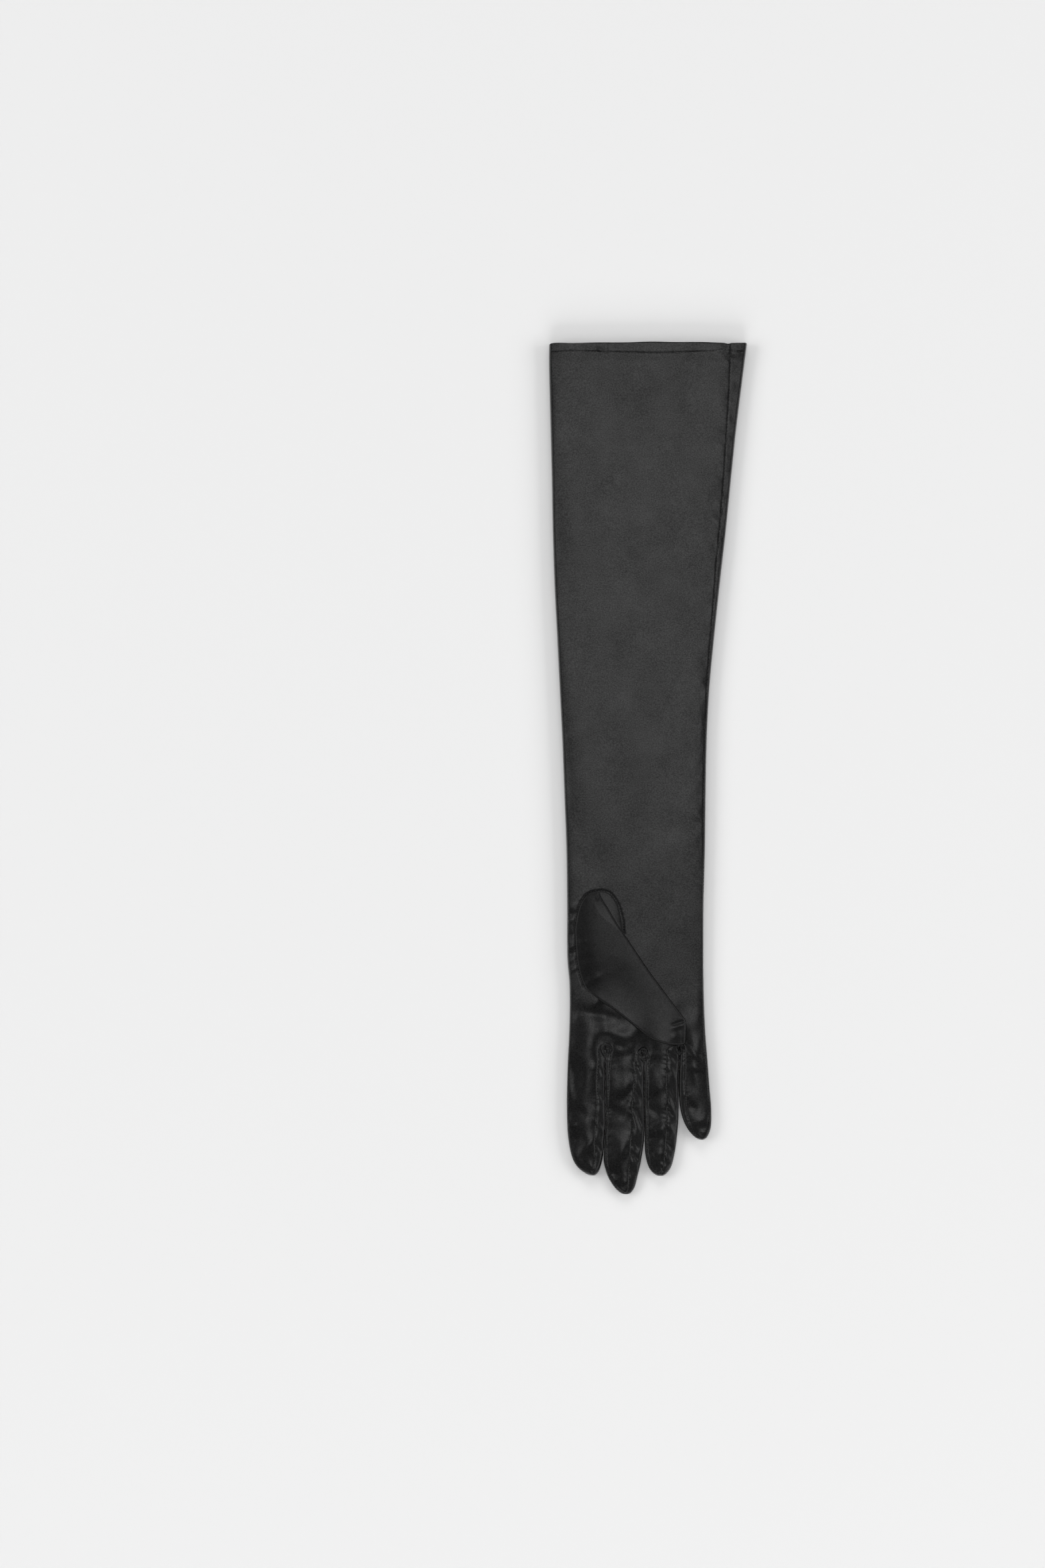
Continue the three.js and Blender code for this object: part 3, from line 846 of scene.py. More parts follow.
class Mesh:
    """Gathers grids of points into one welded mesh."""

    def __init__(self) -> None:
        """Starts empty."""
        self.points: list[Array] = []
        self.faces: list[Array] = []
        self.count = 0

    def grid(self, points: Array, flip: bool = False) -> None:
        """Adds a grid.

        Args:
            points: an array of shape (rows, columns, 3), in millimetres on the plan.
            flip: whether its faces look the other way.
        """
        rows, columns = points.shape[:2]
        index = np.arange(rows * columns).reshape(rows, columns) + self.count
        quads = np.stack([index[:-1, :-1], index[:-1, 1:], index[1:, 1:], index[1:, :-1]], -1).reshape(-1, 4)
        self.faces.append(quads[:, ::-1] if flip else quads)
        self.points.append(points.reshape(-1, 3))
        self.count += rows * columns

    def build(self, name: str, material: bpy.types.Material) -> bpy.types.Object:
        """Args:
            name: the object's name.
            material: its material.

        Returns:
            The new object, smooth shaded, with doubled points joined.
        """
        points = np.concatenate(self.points)
        keys, first, back = np.unique(np.round(points * 2000), axis=0, return_index=True, return_inverse=True)
        points = points[first]
        back = back.reshape(-1)
        faces = [list(dict.fromkeys(back[face].tolist())) for face in np.concatenate(self.faces)]
        faces = [face for face in faces if len(face) > 2]
        shift = np.array([*ROW_SHIFT, 0])
        mesh = bpy.data.meshes.new(name)
        mesh.from_pydata(((points + shift) * MM).tolist(), [], faces)
        mesh.polygons.foreach_set("use_smooth", [True] * len(mesh.polygons))
        mesh.materials.append(material)
        mesh.update()
        piece = bpy.data.objects.new(name, mesh)
        bpy.context.scene.collection.objects.link(piece)
        return piece


def raised(plan: Array, z: Array) -> Array:
    """Args:
        plan: plan points of shape (rows, columns, 2).
        z: their heights, flat or in the same shape.

    Returns:
        Points of shape (rows, columns, 3).
    """
    return np.concatenate([plan, z.reshape(*plan.shape[:2], 1)], -1)


@dataclass
class FingerGrid:
    """The plan of one finger's lines, row by row down to the tip."""

    finger: Finger
    lines: dict[str, Array] = field(init=False)
    edges: tuple[PlanLine, PlanLine] = field(init=False)

    def __post_init__(self) -> None:
        """Reads every boundary line at each row."""
        finger = self.finger
        tip_y = finger.tip()[1]
        rows = spread(
            0, 1, finger.rows,
            lambda w: 1 + 5 * np.exp((w - 1) * -tip_y / 2.5) + np.exp(w * tip_y / 6),
        )
        named = {
            "left": finger.left,
            "left_seam": finger.left_seam or finger.left,
            "right_seam": finger.right_seam or finger.right,
            "right": finger.right,
        }
        self.edges = CLOTH.fingers[finger.name]
        self.lines = {}
        for name, points in named.items():
            start = points[0][1]
            y = start + rows * (tip_y - start)
            if points is finger.left:
                line = self.edges[0]
            elif points is finger.right:
                line = self.edges[1]
            else:
                line = PlanLine(points)
            x = line.across(y)
            x[-1] = finger.tip()[0]
            self.lines[name] = np.stack([x, y], -1)

    def between(self, first: str, last: str, shares: Array) -> Array:
        """Args:
            first: one boundary line.
            last: the other.
            shares: where the columns lie between them.

        Returns:
            Plan points of shape (rows, columns, 2).
        """
        return blend(self.lines[first], self.lines[last], shares)

    def gap(self, plan: Array) -> Array:
        """Args:
            plan: points of shape (rows, columns, 2).

        Returns:
            Each point's distance from the finger's outline, flat.
        """
        return CLOTH.distance(plan.reshape(-1, 2), self.edges)


@dataclass
class Trank:
    """The hand and sleeve, one piece of satin folded beside the thumb, with the four fingers' faces.

    Attributes:
        back_share: how many of the palm layer's columns one column of the back layer stands for.
        edge_pull: how much closer together the columns are along the outline.
    """

    back_share: int = 3
    edge_pull: float = 2.2
    grids: list[FingerGrid] = field(default_factory=lambda: [FingerGrid(finger) for finger in FINGERS])

    def counts(self, side: Side) -> list[int]:
        """Args:
            side: which layer.

        Returns:
            How many columns each finger has there.
        """
        share = self.back_share if side is Side.BACK else 1
        return [max(8, finger.columns // share) for finger in FINGERS]

    def root_row(self, side: Side) -> Array:
        """Args:
            side: which layer.

        Returns:
            The plan points where the palm meets the fingers.
        """
        parts = []
        for grid, count in zip(self.grids, self.counts(side)):
            row = grid.between("left_seam", "right_seam", eased(count))[0]
            parts.append(row if not parts else row[1:])
        return np.concatenate(parts)

    def rows(self) -> Array:
        """Returns the heights on the plan of the rows from the crotches to the mouth."""
        def density(y: Array) -> Array:
            """Args:
                y: heights on the plan.

            Returns:
                How close together the rows are there.
            """
            near_thumb = smooth(y, 20, 32) * (1 - smooth(y, 100, 112))
            return 1 + 0.7 * (1 - smooth(y, 100, 125)) + 0.7 * near_thumb + 2.0 * smooth(y, 436, 443)

        return spread(0, HEM_Y, 380, density)

    def hem_wave(self, plan: Array) -> Array:
        """Args:
            plan: plan points.

        Returns:
            How far the mouth's edge lies above or below a straight one.
        """
        x = plan[..., 0]
        wave = 0.35 * np.sin(x / 17 + 0.6) + 0.15 * np.sin(x / 5.3) - 0.5 * np.exp(-((x - 58.5) / 1.6) ** 2)
        corner = -1.1 * np.exp((MOUTH_LEFT - x) / 2.5)
        return (wave + corner - 0.3) * smooth(plan[..., 1], HEM_Y - 25, HEM_Y)

    def plan(self, side: Side, y: Array, inset: float = 0.0) -> Array:
        """Args:
            side: which layer.
            y: heights on the plan, from the crotches up.
            inset: how far inside the outline the outer columns lie.

        Returns:
            Plan points of shape (rows, columns, 2).
        """
        root = self.root_row(side)
        left, right = CLOTH.left.across(y) + inset, CLOTH.right.across(y) - inset
        seam = CLOTH.side.across(y)
        at_root = (root[:, 0] - root[0, 0]) / (root[-1, 0] - root[0, 0])
        result = np.zeros((len(y), len(root), 2))
        for row, height in enumerate(y):
            def density(x: Array) -> Array:
                """Args:
                    x: places across the row.

                Returns:
                    How close together the columns are there.
                """
                edge = np.exp(-((x - left[row]) / 2.6) ** 2) + np.exp(-((x - right[row]) / 2.6) ** 2)
                hole = smooth(height, 25, 35) * (1 - smooth(height, 100, 108))
                near_hole = 0.5 * hole * (1 - smooth(x, -6, 4)) * smooth(x, -44, -40)
                near_seam = 1.6 * np.exp(-((x - seam[row]) / 2.2) ** 2) * smooth(height, 100, 140)
                return 1 + self.edge_pull * edge + near_seam + near_hole

            across = spread(left[row], right[row], len(root) - 1, density)
            even = root[:, 0] + (left[row] - left[0]) * (1 - at_root) + (right[row] - right[0]) * at_root
            result[row, :, 0] = even + (across - even) * smooth(np.array(height), 0, 45)
            result[row, :, 1] = height + root[:, 1] * (1 - smooth(np.array(height), 0, 14))
        result[..., 1] += self.hem_wave(result)
        return result

    def gap(self, plan: Array) -> Array:
        """Args:
            plan: points of shape (rows, columns, 2).

        Returns:
            Each point's distance from the outline and the crotches, flat.
        """
        flat = plan.reshape(-1, 2)
        gap = CLOTH.distance(flat, (CLOTH.left, CLOTH.right))
        for crotch in CROTCHES:
            gap = np.minimum(gap, np.hypot(*(flat - crotch).T))
        gap = gap.reshape(plan.shape[:2])
        gap[:, [0, -1]] = 0
        return gap.reshape(-1)

    def ring(self, side: Side, y: float, inset: float) -> Array:
        """Gives one row around the mouth, inside the cloth.

        Args:
            side: which layer.
            y: its height on the plan.
            inset: how far inside the outer face it lies.

        Returns:
            Points of shape (1, columns, 3).
        """
        plan = self.plan(side, np.array([min(y, HEM_Y)]), inset)
        plan[..., 1] += max(y - HEM_Y, 0)
        gap = np.maximum(self.gap(plan) - inset, 0)
        z = CLOTH.base(plan.reshape(-1, 2), gap, side, inset)
        return raised(plan, z)

    def build(self, material: bpy.types.Material) -> bpy.types.Object:
        """Args:
            material: the satin.

        Returns:
            The piece.
        """
        mesh = Mesh()
        y = self.rows()
        for side in Side:
            flip = side is Side.BACK
            plan = self.plan(side, y)
            flat, gap = plan.reshape(-1, 2), self.gap(plan)
            z = CLOTH.palm(flat, gap) if side is Side.PALM else CLOTH.back(flat, gap)
            points = raised(plan, z)
            if side is Side.PALM:
                self.add_with_hole(mesh, points)
            else:
                mesh.grid(points, not flip)
            first = 0
            for grid, count in zip(self.grids, self.counts(side)):
                face = grid.between("left_seam", "right_seam", eased(count))
                flat, gap = face.reshape(-1, 2), grid.gap(face)
                z = CLOTH.finger(grid.finger, flat, gap) if side is Side.PALM else CLOTH.back(flat, gap)
                z = z.reshape(face.shape[:2])
                root = points[0, first:first + count + 1, 2]
                z += (root - z[0]) * (1 - smooth(face[:1, :, 1] - face[..., 1], 0, 4))
                mesh.grid(raised(face, z), flip)
                first += count
            roll = [self.ring(side, HEM_Y + rise, inset) for rise, inset in HEM_ROLL]
            mesh.grid(np.concatenate([points[-1:], *roll]), not flip)
        return mesh.build("hand_and_sleeve_satin", material)

    @staticmethod
    def add_with_hole(mesh: Mesh, points: Array) -> None:
        """Adds the palm layer, open where the thumb is sewn in.

        Args:
            mesh: where it goes.
            points: the layer's grid.
        """
        mesh.grid(points, True)
        outline = np.concatenate([PlanLine(THUMB_SEAM, 6).dense, PlanLine(HIDDEN_SEAM, 6).dense])
        middle = outline.mean(0)
        outline = middle + (outline - middle) * 0.94
        faces = mesh.faces[-1]
        centre = points.reshape(-1, 3)[faces - (mesh.count - len(points) * points.shape[1])].mean(1)[:, :2]
        mesh.faces[-1] = faces[~inside(centre, outline)]


def inside(plan: Array, outline: Array) -> Array:
    """Args:
        plan: points of shape (count, 2).
        outline: a closed line's points.

    Returns:
        Whether each point lies inside it.
    """
    result = np.zeros(len(plan), bool)
    for (x0, y0), (x1, y1) in zip(outline, np.roll(outline, -1, 0)):
        if y0 == y1:
            continue
        crosses = (plan[:, 1] > min(y0, y1)) & (plan[:, 1] <= max(y0, y1))
        at_x = x0 + (plan[:, 1] - y0) * (x1 - x0) / (y1 - y0)
        result ^= crosses & (plan[:, 0] < at_x)
    return result


@dataclass
class Fourchette:
    """The strip between two neighbouring fingers, sewn to both and round the crotch.

    Attributes:
        name: which strip.
        trank: the hand that it is sewn to.
        front: how many columns it has from a seam to the outline.
        back: how many from there to the seam of the back.
    """

    name: str
    trank: Trank
    front: int = 9
    back: int = 4

    def build(self, material: bpy.types.Material) -> bpy.types.Object:
        """Args:
            material: the strip's satin.

        Returns:
            The piece.
        """
        mesh = Mesh()
        for grid in self.trank.grids:
            for edge, strip in zip(("left", "right"), grid.finger.strips):
                if strip != self.name:
                    continue
                flip = edge == "left"
                for side, count in ((Side.PALM, self.front), (Side.BACK, self.back)):
                    shares = np.sin(np.linspace(0, 1, count + 1) * math.pi / 2)
                    plan = grid.between(f"{edge}_seam", edge, shares)
                    flat, gap = plan.reshape(-1, 2), grid.gap(plan)
                    gap.reshape(len(plan), -1)[:, -1] = 0
                    if side is Side.PALM:
                        z = CLOTH.finger(grid.finger, flat, gap)
                    else:
                        z = CLOTH.back(flat, gap)
                    mesh.grid(raised(plan, z), flip ^ (side is Side.BACK))
        return mesh.build(f"fourchette_{self.name}_strip", material)


@dataclass
class HemBand:
    """The turned hem inside the mouth.

    Attributes:
        trank: the sleeve that it belongs to.
    """

    trank: Trank
    PROFILE = (
        (0.3, 0.75), (0.1, 1.0), (-0.4, 1.15), (-1.5, 1.2), (-3.5, 1.2), (-5.0, 1.2), (-5.9, 1.2),
        (-6.2, 1.1), (-6.25, 0.9), (-6.1, 0.75),
    )

    def build(self, material: bpy.types.Material) -> bpy.types.Object:
        """Args:
            material: the hem's satin.

        Returns:
            The piece.
        """
        mesh = Mesh()
        for side in Side:
            rings = [self.trank.ring(side, HEM_Y + rise, inset) for rise, inset in self.PROFILE]
            mesh.grid(np.concatenate(rings), side is Side.PALM)
        return mesh.build("hem_turning_band", material)


@dataclass
class Thumb:
    """The thumb piece, sewn into the palm's oval and folded over the palm.

    Attributes:
        loft: how high the flat thumb stands over the palm.
        rows: how many gaps it has along its length.
        columns: how many across.
        rounding: how wide its rounded edges are.
    """

    loft: float = 4.6
    rows: int = 190
    columns: int = 64
    rounding: float = 1.4
    LEFT = places(
        (896, 1337), (889, 1337.5), (880, 1342), (871, 1354), (866, 1368), (862.5, 1387), (862, 1400),
        (865, 1441), (871, 1467), (877, 1481), (896, 1497), (923, 1516), (946, 1534), (968, 1552),
        (980, 1559.5), (1002, 1566), (1017, 1567.5),
    )
    RIGHT = places(
        (899, 1337), (904, 1349), (914, 1365), (925, 1384), (938, 1403.5), (956, 1430), (974, 1456.5),
        (1004, 1497), (1022, 1521), (1027.6, 1528.4), (1028.8, 1530.6), (1028.9, 1533.6),
        (1028.9, 1545), (1028.5, 1558),
    )
    TIP = places((1017, 1567.5), (1024, 1566.8), (1027.6, 1564), (1028.5, 1558))
    CREASES = creases(
        (896, 1338, 896, 1349, 0.7, -0.5),
        (903, 1340, 904, 1350, 0.7, -0.5),
        (1029, 1530, 1008, 1537, 0.9, -0.45),
        (1026, 1536, 1008, 1542, 1.6, 0.35),
        (1008, 1556, 1018, 1553, 2.2, 0.35),
        (880, 1476, 900, 1462, 2.2, 0.5),
        (870, 1440, 886, 1436, 1.8, -0.35),
        (868, 1412, 880, 1410, 1.6, 0.3),
        (906, 1440, 950, 1500, 9.0, -0.1),
    )

    def __post_init__(self) -> None:
        """Draws the thumb's lines and spreads its rows."""
        self.sewn = PlanLine([point for point in self.LEFT if point[1] > place(0, 1483)[1]])
        lower = [point for point in self.LEFT if point[1] < place(0, 1477)[1]]
        self.free = (PlanLine(lower), PlanLine(self.RIGHT), PlanLine(self.TIP))
        self.left, self.right = PlanLine(self.LEFT), PlanLine(self.RIGHT)

    def plan(self) -> Array:
        """Returns plan points of the top, of shape (rows, columns, 2)."""
        share = spread(0, 1, self.rows, lambda s: 1 + 1.5 * np.exp(-s / 0.05) + 2 * np.exp((s - 1) / 0.03))
        rule = blend(self.left.at(share), self.right.at(share), eased(self.columns, 0.6))
        end = PlanLine(self.TIP).at(eased(self.columns, 0.6))
        closing = smooth(share, 0.93, 1)[:, None, None]
        return rule + (end - rule[-1])[None] * closing

    def under(self, flat: Array) -> Array:
        """Args:
            flat: plan points of shape (count, 2).

        Returns:
            The palm's height below them.
        """
        gap = CLOTH.distance(flat, (CLOTH.left, CLOTH.right))
        return CLOTH.resting(flat, gap)

    def free_curve(self, flat: Array) -> Array:
        """Args:
            flat: plan points.

        Returns:
            0 on the free outline, rising in a round curve to 1 inside it.
        """
        share = np.clip(CLOTH.distance(flat, self.free, 6.0) / self.rounding, 0, 1)
        return np.sqrt(1 - (1 - share) ** 2)

    def rise(self, flat: Array) -> Array:
        """Args:
            flat: plan points.

        Returns:
            0 on the sewn side, rising to 1 away from it.
        """
        away = CLOTH.distance(flat, (self.sewn,), 70.0)
        return 0.05 * np.sqrt(np.clip(away / 1.2, 0, 1)) + 0.95 * (1 - np.exp(-away / 17))

    def top(self, flat: Array) -> Array:
        """Args:
            flat: plan points.

        Returns:
            The height of the thumb's upper face.
        """
        rise = self.rise(flat)
        z = self.under(flat) + self.loft * rise * (0.5 + 0.5 * self.free_curve(flat)) + 0.35 * rise
        soft = np.clip(CLOTH.distance(flat, (*self.free, self.sewn), 6.0) / 4, 0, 1)
        z += 0.13 * soft * ripple(flat * (1, 0.7), 26, 31) + 0.012 * soft * ripple(flat, 8, 32)
        for crease in self.CREASES:
            z += crease.lift(flat)
        return z + THUMB_HOLE.lift(flat) * (1 - smooth(rise, 0.3, 0.6))

    def bottom(self, flat: Array) -> Array:
        """Args:
            flat: plan points.

        Returns:
            The height of the thumb's lower face, just over the palm.
        """
        rise = self.rise(flat)
        return self.under(flat) + 0.35 * rise + self.loft * rise * 0.5 * (1 - self.free_curve(flat))

    def build(self, material: bpy.types.Material) -> bpy.types.Object:
        """Args:
            material: the thumb's satin.

        Returns:
            The piece.
        """
        mesh = Mesh()
        plan = self.plan()
        top = raised(plan, self.top(plan.reshape(-1, 2)))
        mesh.grid(top)
        rows = np.arange(len(plan))
        first = np.searchsorted(plan[:, 0, 1] < place(0, 1481)[1], True)
        last = np.searchsorted(plan[:, -1, 1] < place(0, 1401)[1], True)
        start = first + (last - first) * eased(self.columns, 0.0)
        share = np.linspace(0, 1, 110)[:, None]
        lane = start[None] + (rows[-1] - start[None]) * share
        column = np.broadcast_to(np.arange(self.columns + 1), lane.shape)
        low = np.floor(lane).astype(int).clip(0, rows[-1] - 1)
        part = (lane - low)[..., None]
        below = plan[low, column] * (1 - part) + plan[low + 1, column] * part
        mesh.grid(raised(below, self.bottom(below.reshape(-1, 2))), True)
        self.add_skirt(mesh)
        return mesh.build("thumb_satin", material)

    def add_skirt(self, mesh: Mesh) -> None:
        """Adds the strip between the oval's seam and the fold, which turns under the thumb.

        Args:
            mesh: where it goes.
        """
        seam = PlanLine(THUMB_SEAM[8:])
        fold = PlanLine([point for point in self.RIGHT if point[1] > place(0, 1412)[1]])
        share = eased(60)
        outer, inner = seam.at(share), fold.at(share)
        inner = inner + (inner - outer) * 0.25 + np.array([-1.6, -0.4])
        plan = blend(outer, inner, np.linspace(0, 1, 15))
        flat = plan.reshape(-1, 2)
        across = np.tile(np.linspace(0, 1, 15), len(plan))
        z = self.under(flat) + THUMB_HOLE.lift(flat) + 1.1 * np.sin(across * math.pi * 0.6) * self.rise(flat)
        mesh.grid(raised(plan, z), True)


@dataclass
class Gusset:
    """The small puckered patch sewn in at a crotch.

    Attributes:
        name: which crotch.
        centre: its middle on the plan.
        radius: its half width.
        seed: which way its folds fall.
    """

    name: str
    centre: Point
    radius: float
    seed: int

    def build(self, material: bpy.types.Material) -> bpy.types.Object:
        """Args:
            material: the patch's satin.

        Returns:
            The piece.
        """
        angle = np.linspace(0, TURN, 97)
        share = np.linspace(0, 1, 26)[:, None]
        wobble = 0.06 * np.sin(3 * angle + self.seed) + 0.03 * np.sin(7 * angle + 2 * self.seed)
        radius = self.radius * share * (1 + wobble)
        x = self.centre[0] + radius * np.cos(angle)
        y = self.centre[1] + radius * (1.26 - 0.12 * np.sin(angle)) * np.sin(angle)
        x -= 0.22 * (y < self.centre[1]) * (x - self.centre[0]) * (self.centre[1] - y) / self.radius
        plan = np.stack([x, y], -1)
        flat = plan.reshape(-1, 2)
        level = CLOTH.loft(flat[:, 1]) - CLOTH.crotch_dip(flat) + CLOTH.crown(flat) * 0.3
        petals = np.zeros(x.shape)
        for turns, height, twist in ((3, 0.95, 1.1), (4, 0.45, -0.8)):
            phase = (turns * angle / TURN + twist * share + 0.17 * self.seed) % 1.0
            lip = np.clip((1 - phase) / 0.16, 0, 1)
            petals += height * phase**0.8 * lip
        inward = np.sin(np.clip(share * 1.15, 0, 1) * math.pi) ** 0.7
        hole_at = (self.centre[0] - 0.1 * self.radius, self.centre[1] + 0.45 * self.radius)
        hole = np.exp(-(((x - hole_at[0]) / 0.75) ** 2) - ((y - hole_at[1]) / 0.95) ** 2)
        rim = (0.4 + 0.25 * np.sin(2 * angle + self.seed)) * np.exp(-(((share - 0.86) / 0.1) ** 2))
        cuff = rim - 1.3 * np.clip((share - 0.9) / 0.1, 0, 1) ** 2
        z = level.reshape(x.shape) - 0.35 + petals * inward + cuff - 1.3 * hole
        mesh = Mesh()
        mesh.grid(raised(plan, z))
        return mesh.build(f"gusset_{self.name}_patch", material)


@dataclass
class Stitching:
    """Small stitches of thread along the seams.

    Attributes:
        length: each stitch's length.
        thickness: its width.
        slant: how far it turns from the seam's line, one way and then the other, in degrees.
        sunk: how far it sinks into the cloth.
    """

    length: float = 1.25
    thickness: float = 0.34
    slant: float = 24.0
    sunk: float = 0.02
    ROUND = 6
    PROFILE = ((-0.5, 0.15), (-0.36, 0.8), (0.0, 1.0), (0.36, 0.8), (0.5, 0.15))

    def build(
        self, name: str, seams: Sequence[Seam], cloth: Sequence[bpy.types.Object],
        material: bpy.types.Material,
    ) -> bpy.types.Object:
        """Args:
            name: the piece's name.
            seams: the seams to stitch.
            cloth: the pieces that the stitches lie on.
            material: the thread.

        Returns:
            The piece.
        """
        bpy.context.view_layer.update()
        graph = bpy.context.evaluated_depsgraph_get()
        trees = [BVHTree.FromObject(piece, graph) for piece in cloth]
        mesh = Mesh()
        for seam in seams:
            count = max(2, round(seam.line.length / seam.pitch))
            for number, share in enumerate((np.arange(count) + 0.5) / count):
                if (1 - share) * seam.line.length > self.length:
                    self.stitch(mesh, seam, number, float(share), trees)
        return mesh.build(name, material)

    def stitch(self, mesh: Mesh, seam: Seam, number: int, share: float, trees: Sequence[BVHTree]) -> None:
        """Args:
            mesh: where the stitch goes.
            seam: its seam.
            number: which stitch.
            share: how far along the seam it lies.
            trees: the cloth's faces.
        """
        middle = seam.line.at(np.array([share]))[0]
        heading = seam.line.heading(np.array([share]))[0]
        turn = math.radians(self.slant if number % 2 else -self.slant)
        axis = np.array([
            heading[0] * math.cos(turn) - heading[1] * math.sin(turn),
            heading[0] * math.sin(turn) + heading[1] * math.cos(turn),
        ])
        ends = [self.height(middle + axis * self.length * reach, trees) for reach in (-0.4, 0.4)]
        if None in ends:
            return
        across = np.array([-axis[1], axis[0]])
        angle = np.linspace(0, TURN, self.ROUND + 1)
        rings = []
        for along, girth in self.PROFILE:
            radius = self.thickness / 2 * girth
            level = ends[0] + (ends[1] - ends[0]) * (along + 0.5) - self.sunk
            plan = middle + axis * self.length * along + across * (radius * np.cos(angle))[:, None]
            rings.append(np.column_stack([plan, level + radius * np.sin(angle)]))
        mesh.grid(np.array(rings), True)

    @staticmethod
    def height(plan: Array, trees: Sequence[BVHTree]) -> float | None:
        """Args:
            plan: a plan place.
            trees: the cloth's faces.

        Returns:
            The height of the highest cloth there, or None where there is none.
        """
        origin = Vector(((plan[0] + ROW_SHIFT[0]) * MM, (plan[1] + ROW_SHIFT[1]) * MM, 0.1))
        hits = [tree.ray_cast(origin, Vector((0, 0, -1)))[0] for tree in trees]
        levels = [hit.z / MM for hit in hits if hit is not None]
        return max(levels) if levels else None


class GroupNodes:
    """Builds a shader node group with named sockets."""

    def __init__(self, name: str, inputs: dict[str, float], outputs: dict[str, str]) -> None:
        """Args:
            name: the group's name.
            inputs: its inputs and their usual values.
            outputs: its outputs and their socket types.
        """
        self.tree = bpy.data.node_groups.new(name, "ShaderNodeTree")
        for label, value in inputs.items():
            socket = self.tree.interface.new_socket(label, in_out="INPUT", socket_type="NodeSocketFloat")
            socket.default_value = value
        for label, kind in outputs.items():
            self.tree.interface.new_socket(label, in_out="OUTPUT", socket_type=kind)
        self.inputs = self.tree.nodes.new("NodeGroupInput").outputs
        self.outputs = self.tree.nodes.new("NodeGroupOutput").inputs
        self.coordinates = self.tree.nodes.new("ShaderNodeTexCoord").outputs["Object"]

    def node(self, kind: str, **values: object) -> bpy.types.Node:
        """Args:
            kind: the node's type.
            values: its settings, or its sockets' values where the name is a socket's.

        Returns:
            The new node.
        """
        made = self.tree.nodes.new(kind)
        for label, value in values.items():
            if hasattr(made, label):
                setattr(made, label, value)
            else:
                made.inputs[label.replace("_", " ")].default_value = value
        return made

    def link(self, source: bpy.types.NodeSocket, target: bpy.types.NodeSocket) -> None:
        """Args:
            source: an output.
            target: the input that it feeds.
        """
        self.tree.links.new(source, target)

    def math(self, operation: str, first: object, second: object = 0.0, third: object = 0.0) -> object:
        """Args:
            operation: what to work out.
            first: a value or an output.
            second: another.
            third: another.

        Returns:
            The result's output.
        """
        made = self.node("ShaderNodeMath", operation=operation)
        for socket, value in zip(made.inputs, (first, second, third)):
            if isinstance(value, bpy.types.NodeSocket):
                self.link(value, socket)
            else:
                socket.default_value = value
        return made.outputs[0]


GRAIN_SCALE = 1150.0
CLOUD_SCALE = 60.0
CLOUD_SHARE = 0.3
WEAVE_MIDDLE = 0.65  # the usual value of the grain and the clouds together
WEAVE_GAIN = 9.0
GRAIN_HEIGHT = 0.00008  # in metres


def weave_group() -> bpy.types.NodeTree:
    """Returns a group that gives satin's fine grain, as a value around 1 and as a normal."""
    group = GroupNodes(
        "satin_weave", {"Contrast": 0.1, "Relief": 0.5},
        {"Value": "NodeSocketFloat", "Normal": "NodeSocketVector"},
    )
    grain = group.node("ShaderNodeTexNoise", Scale=GRAIN_SCALE, Detail=3.0, Roughness=0.75)
    cloud = group.node("ShaderNodeTexNoise", Scale=CLOUD_SCALE, Detail=3.0, Roughness=0.55)
    for texture in (grain, cloud):
        group.link(group.coordinates, texture.inputs["Vector"])
    mixed = group.math("MULTIPLY_ADD", cloud.outputs["Fac"], CLOUD_SHARE, grain.outputs["Fac"])
    centred = group.math("SUBTRACT", mixed, WEAVE_MIDDLE)
    strong = group.math("MULTIPLY", group.inputs["Contrast"], WEAVE_GAIN)
    value = group.math("MAXIMUM", group.math("MULTIPLY_ADD", centred, strong, 1.0), 0.0)
    group.link(value, group.outputs["Value"])
    bump = group.node("ShaderNodeBump", Distance=GRAIN_HEIGHT)
    group.link(group.inputs["Relief"], bump.inputs["Strength"])
    group.link(grain.outputs["Fac"], bump.inputs["Height"])
    group.link(bump.outputs["Normal"], group.outputs["Normal"])
    return group.tree


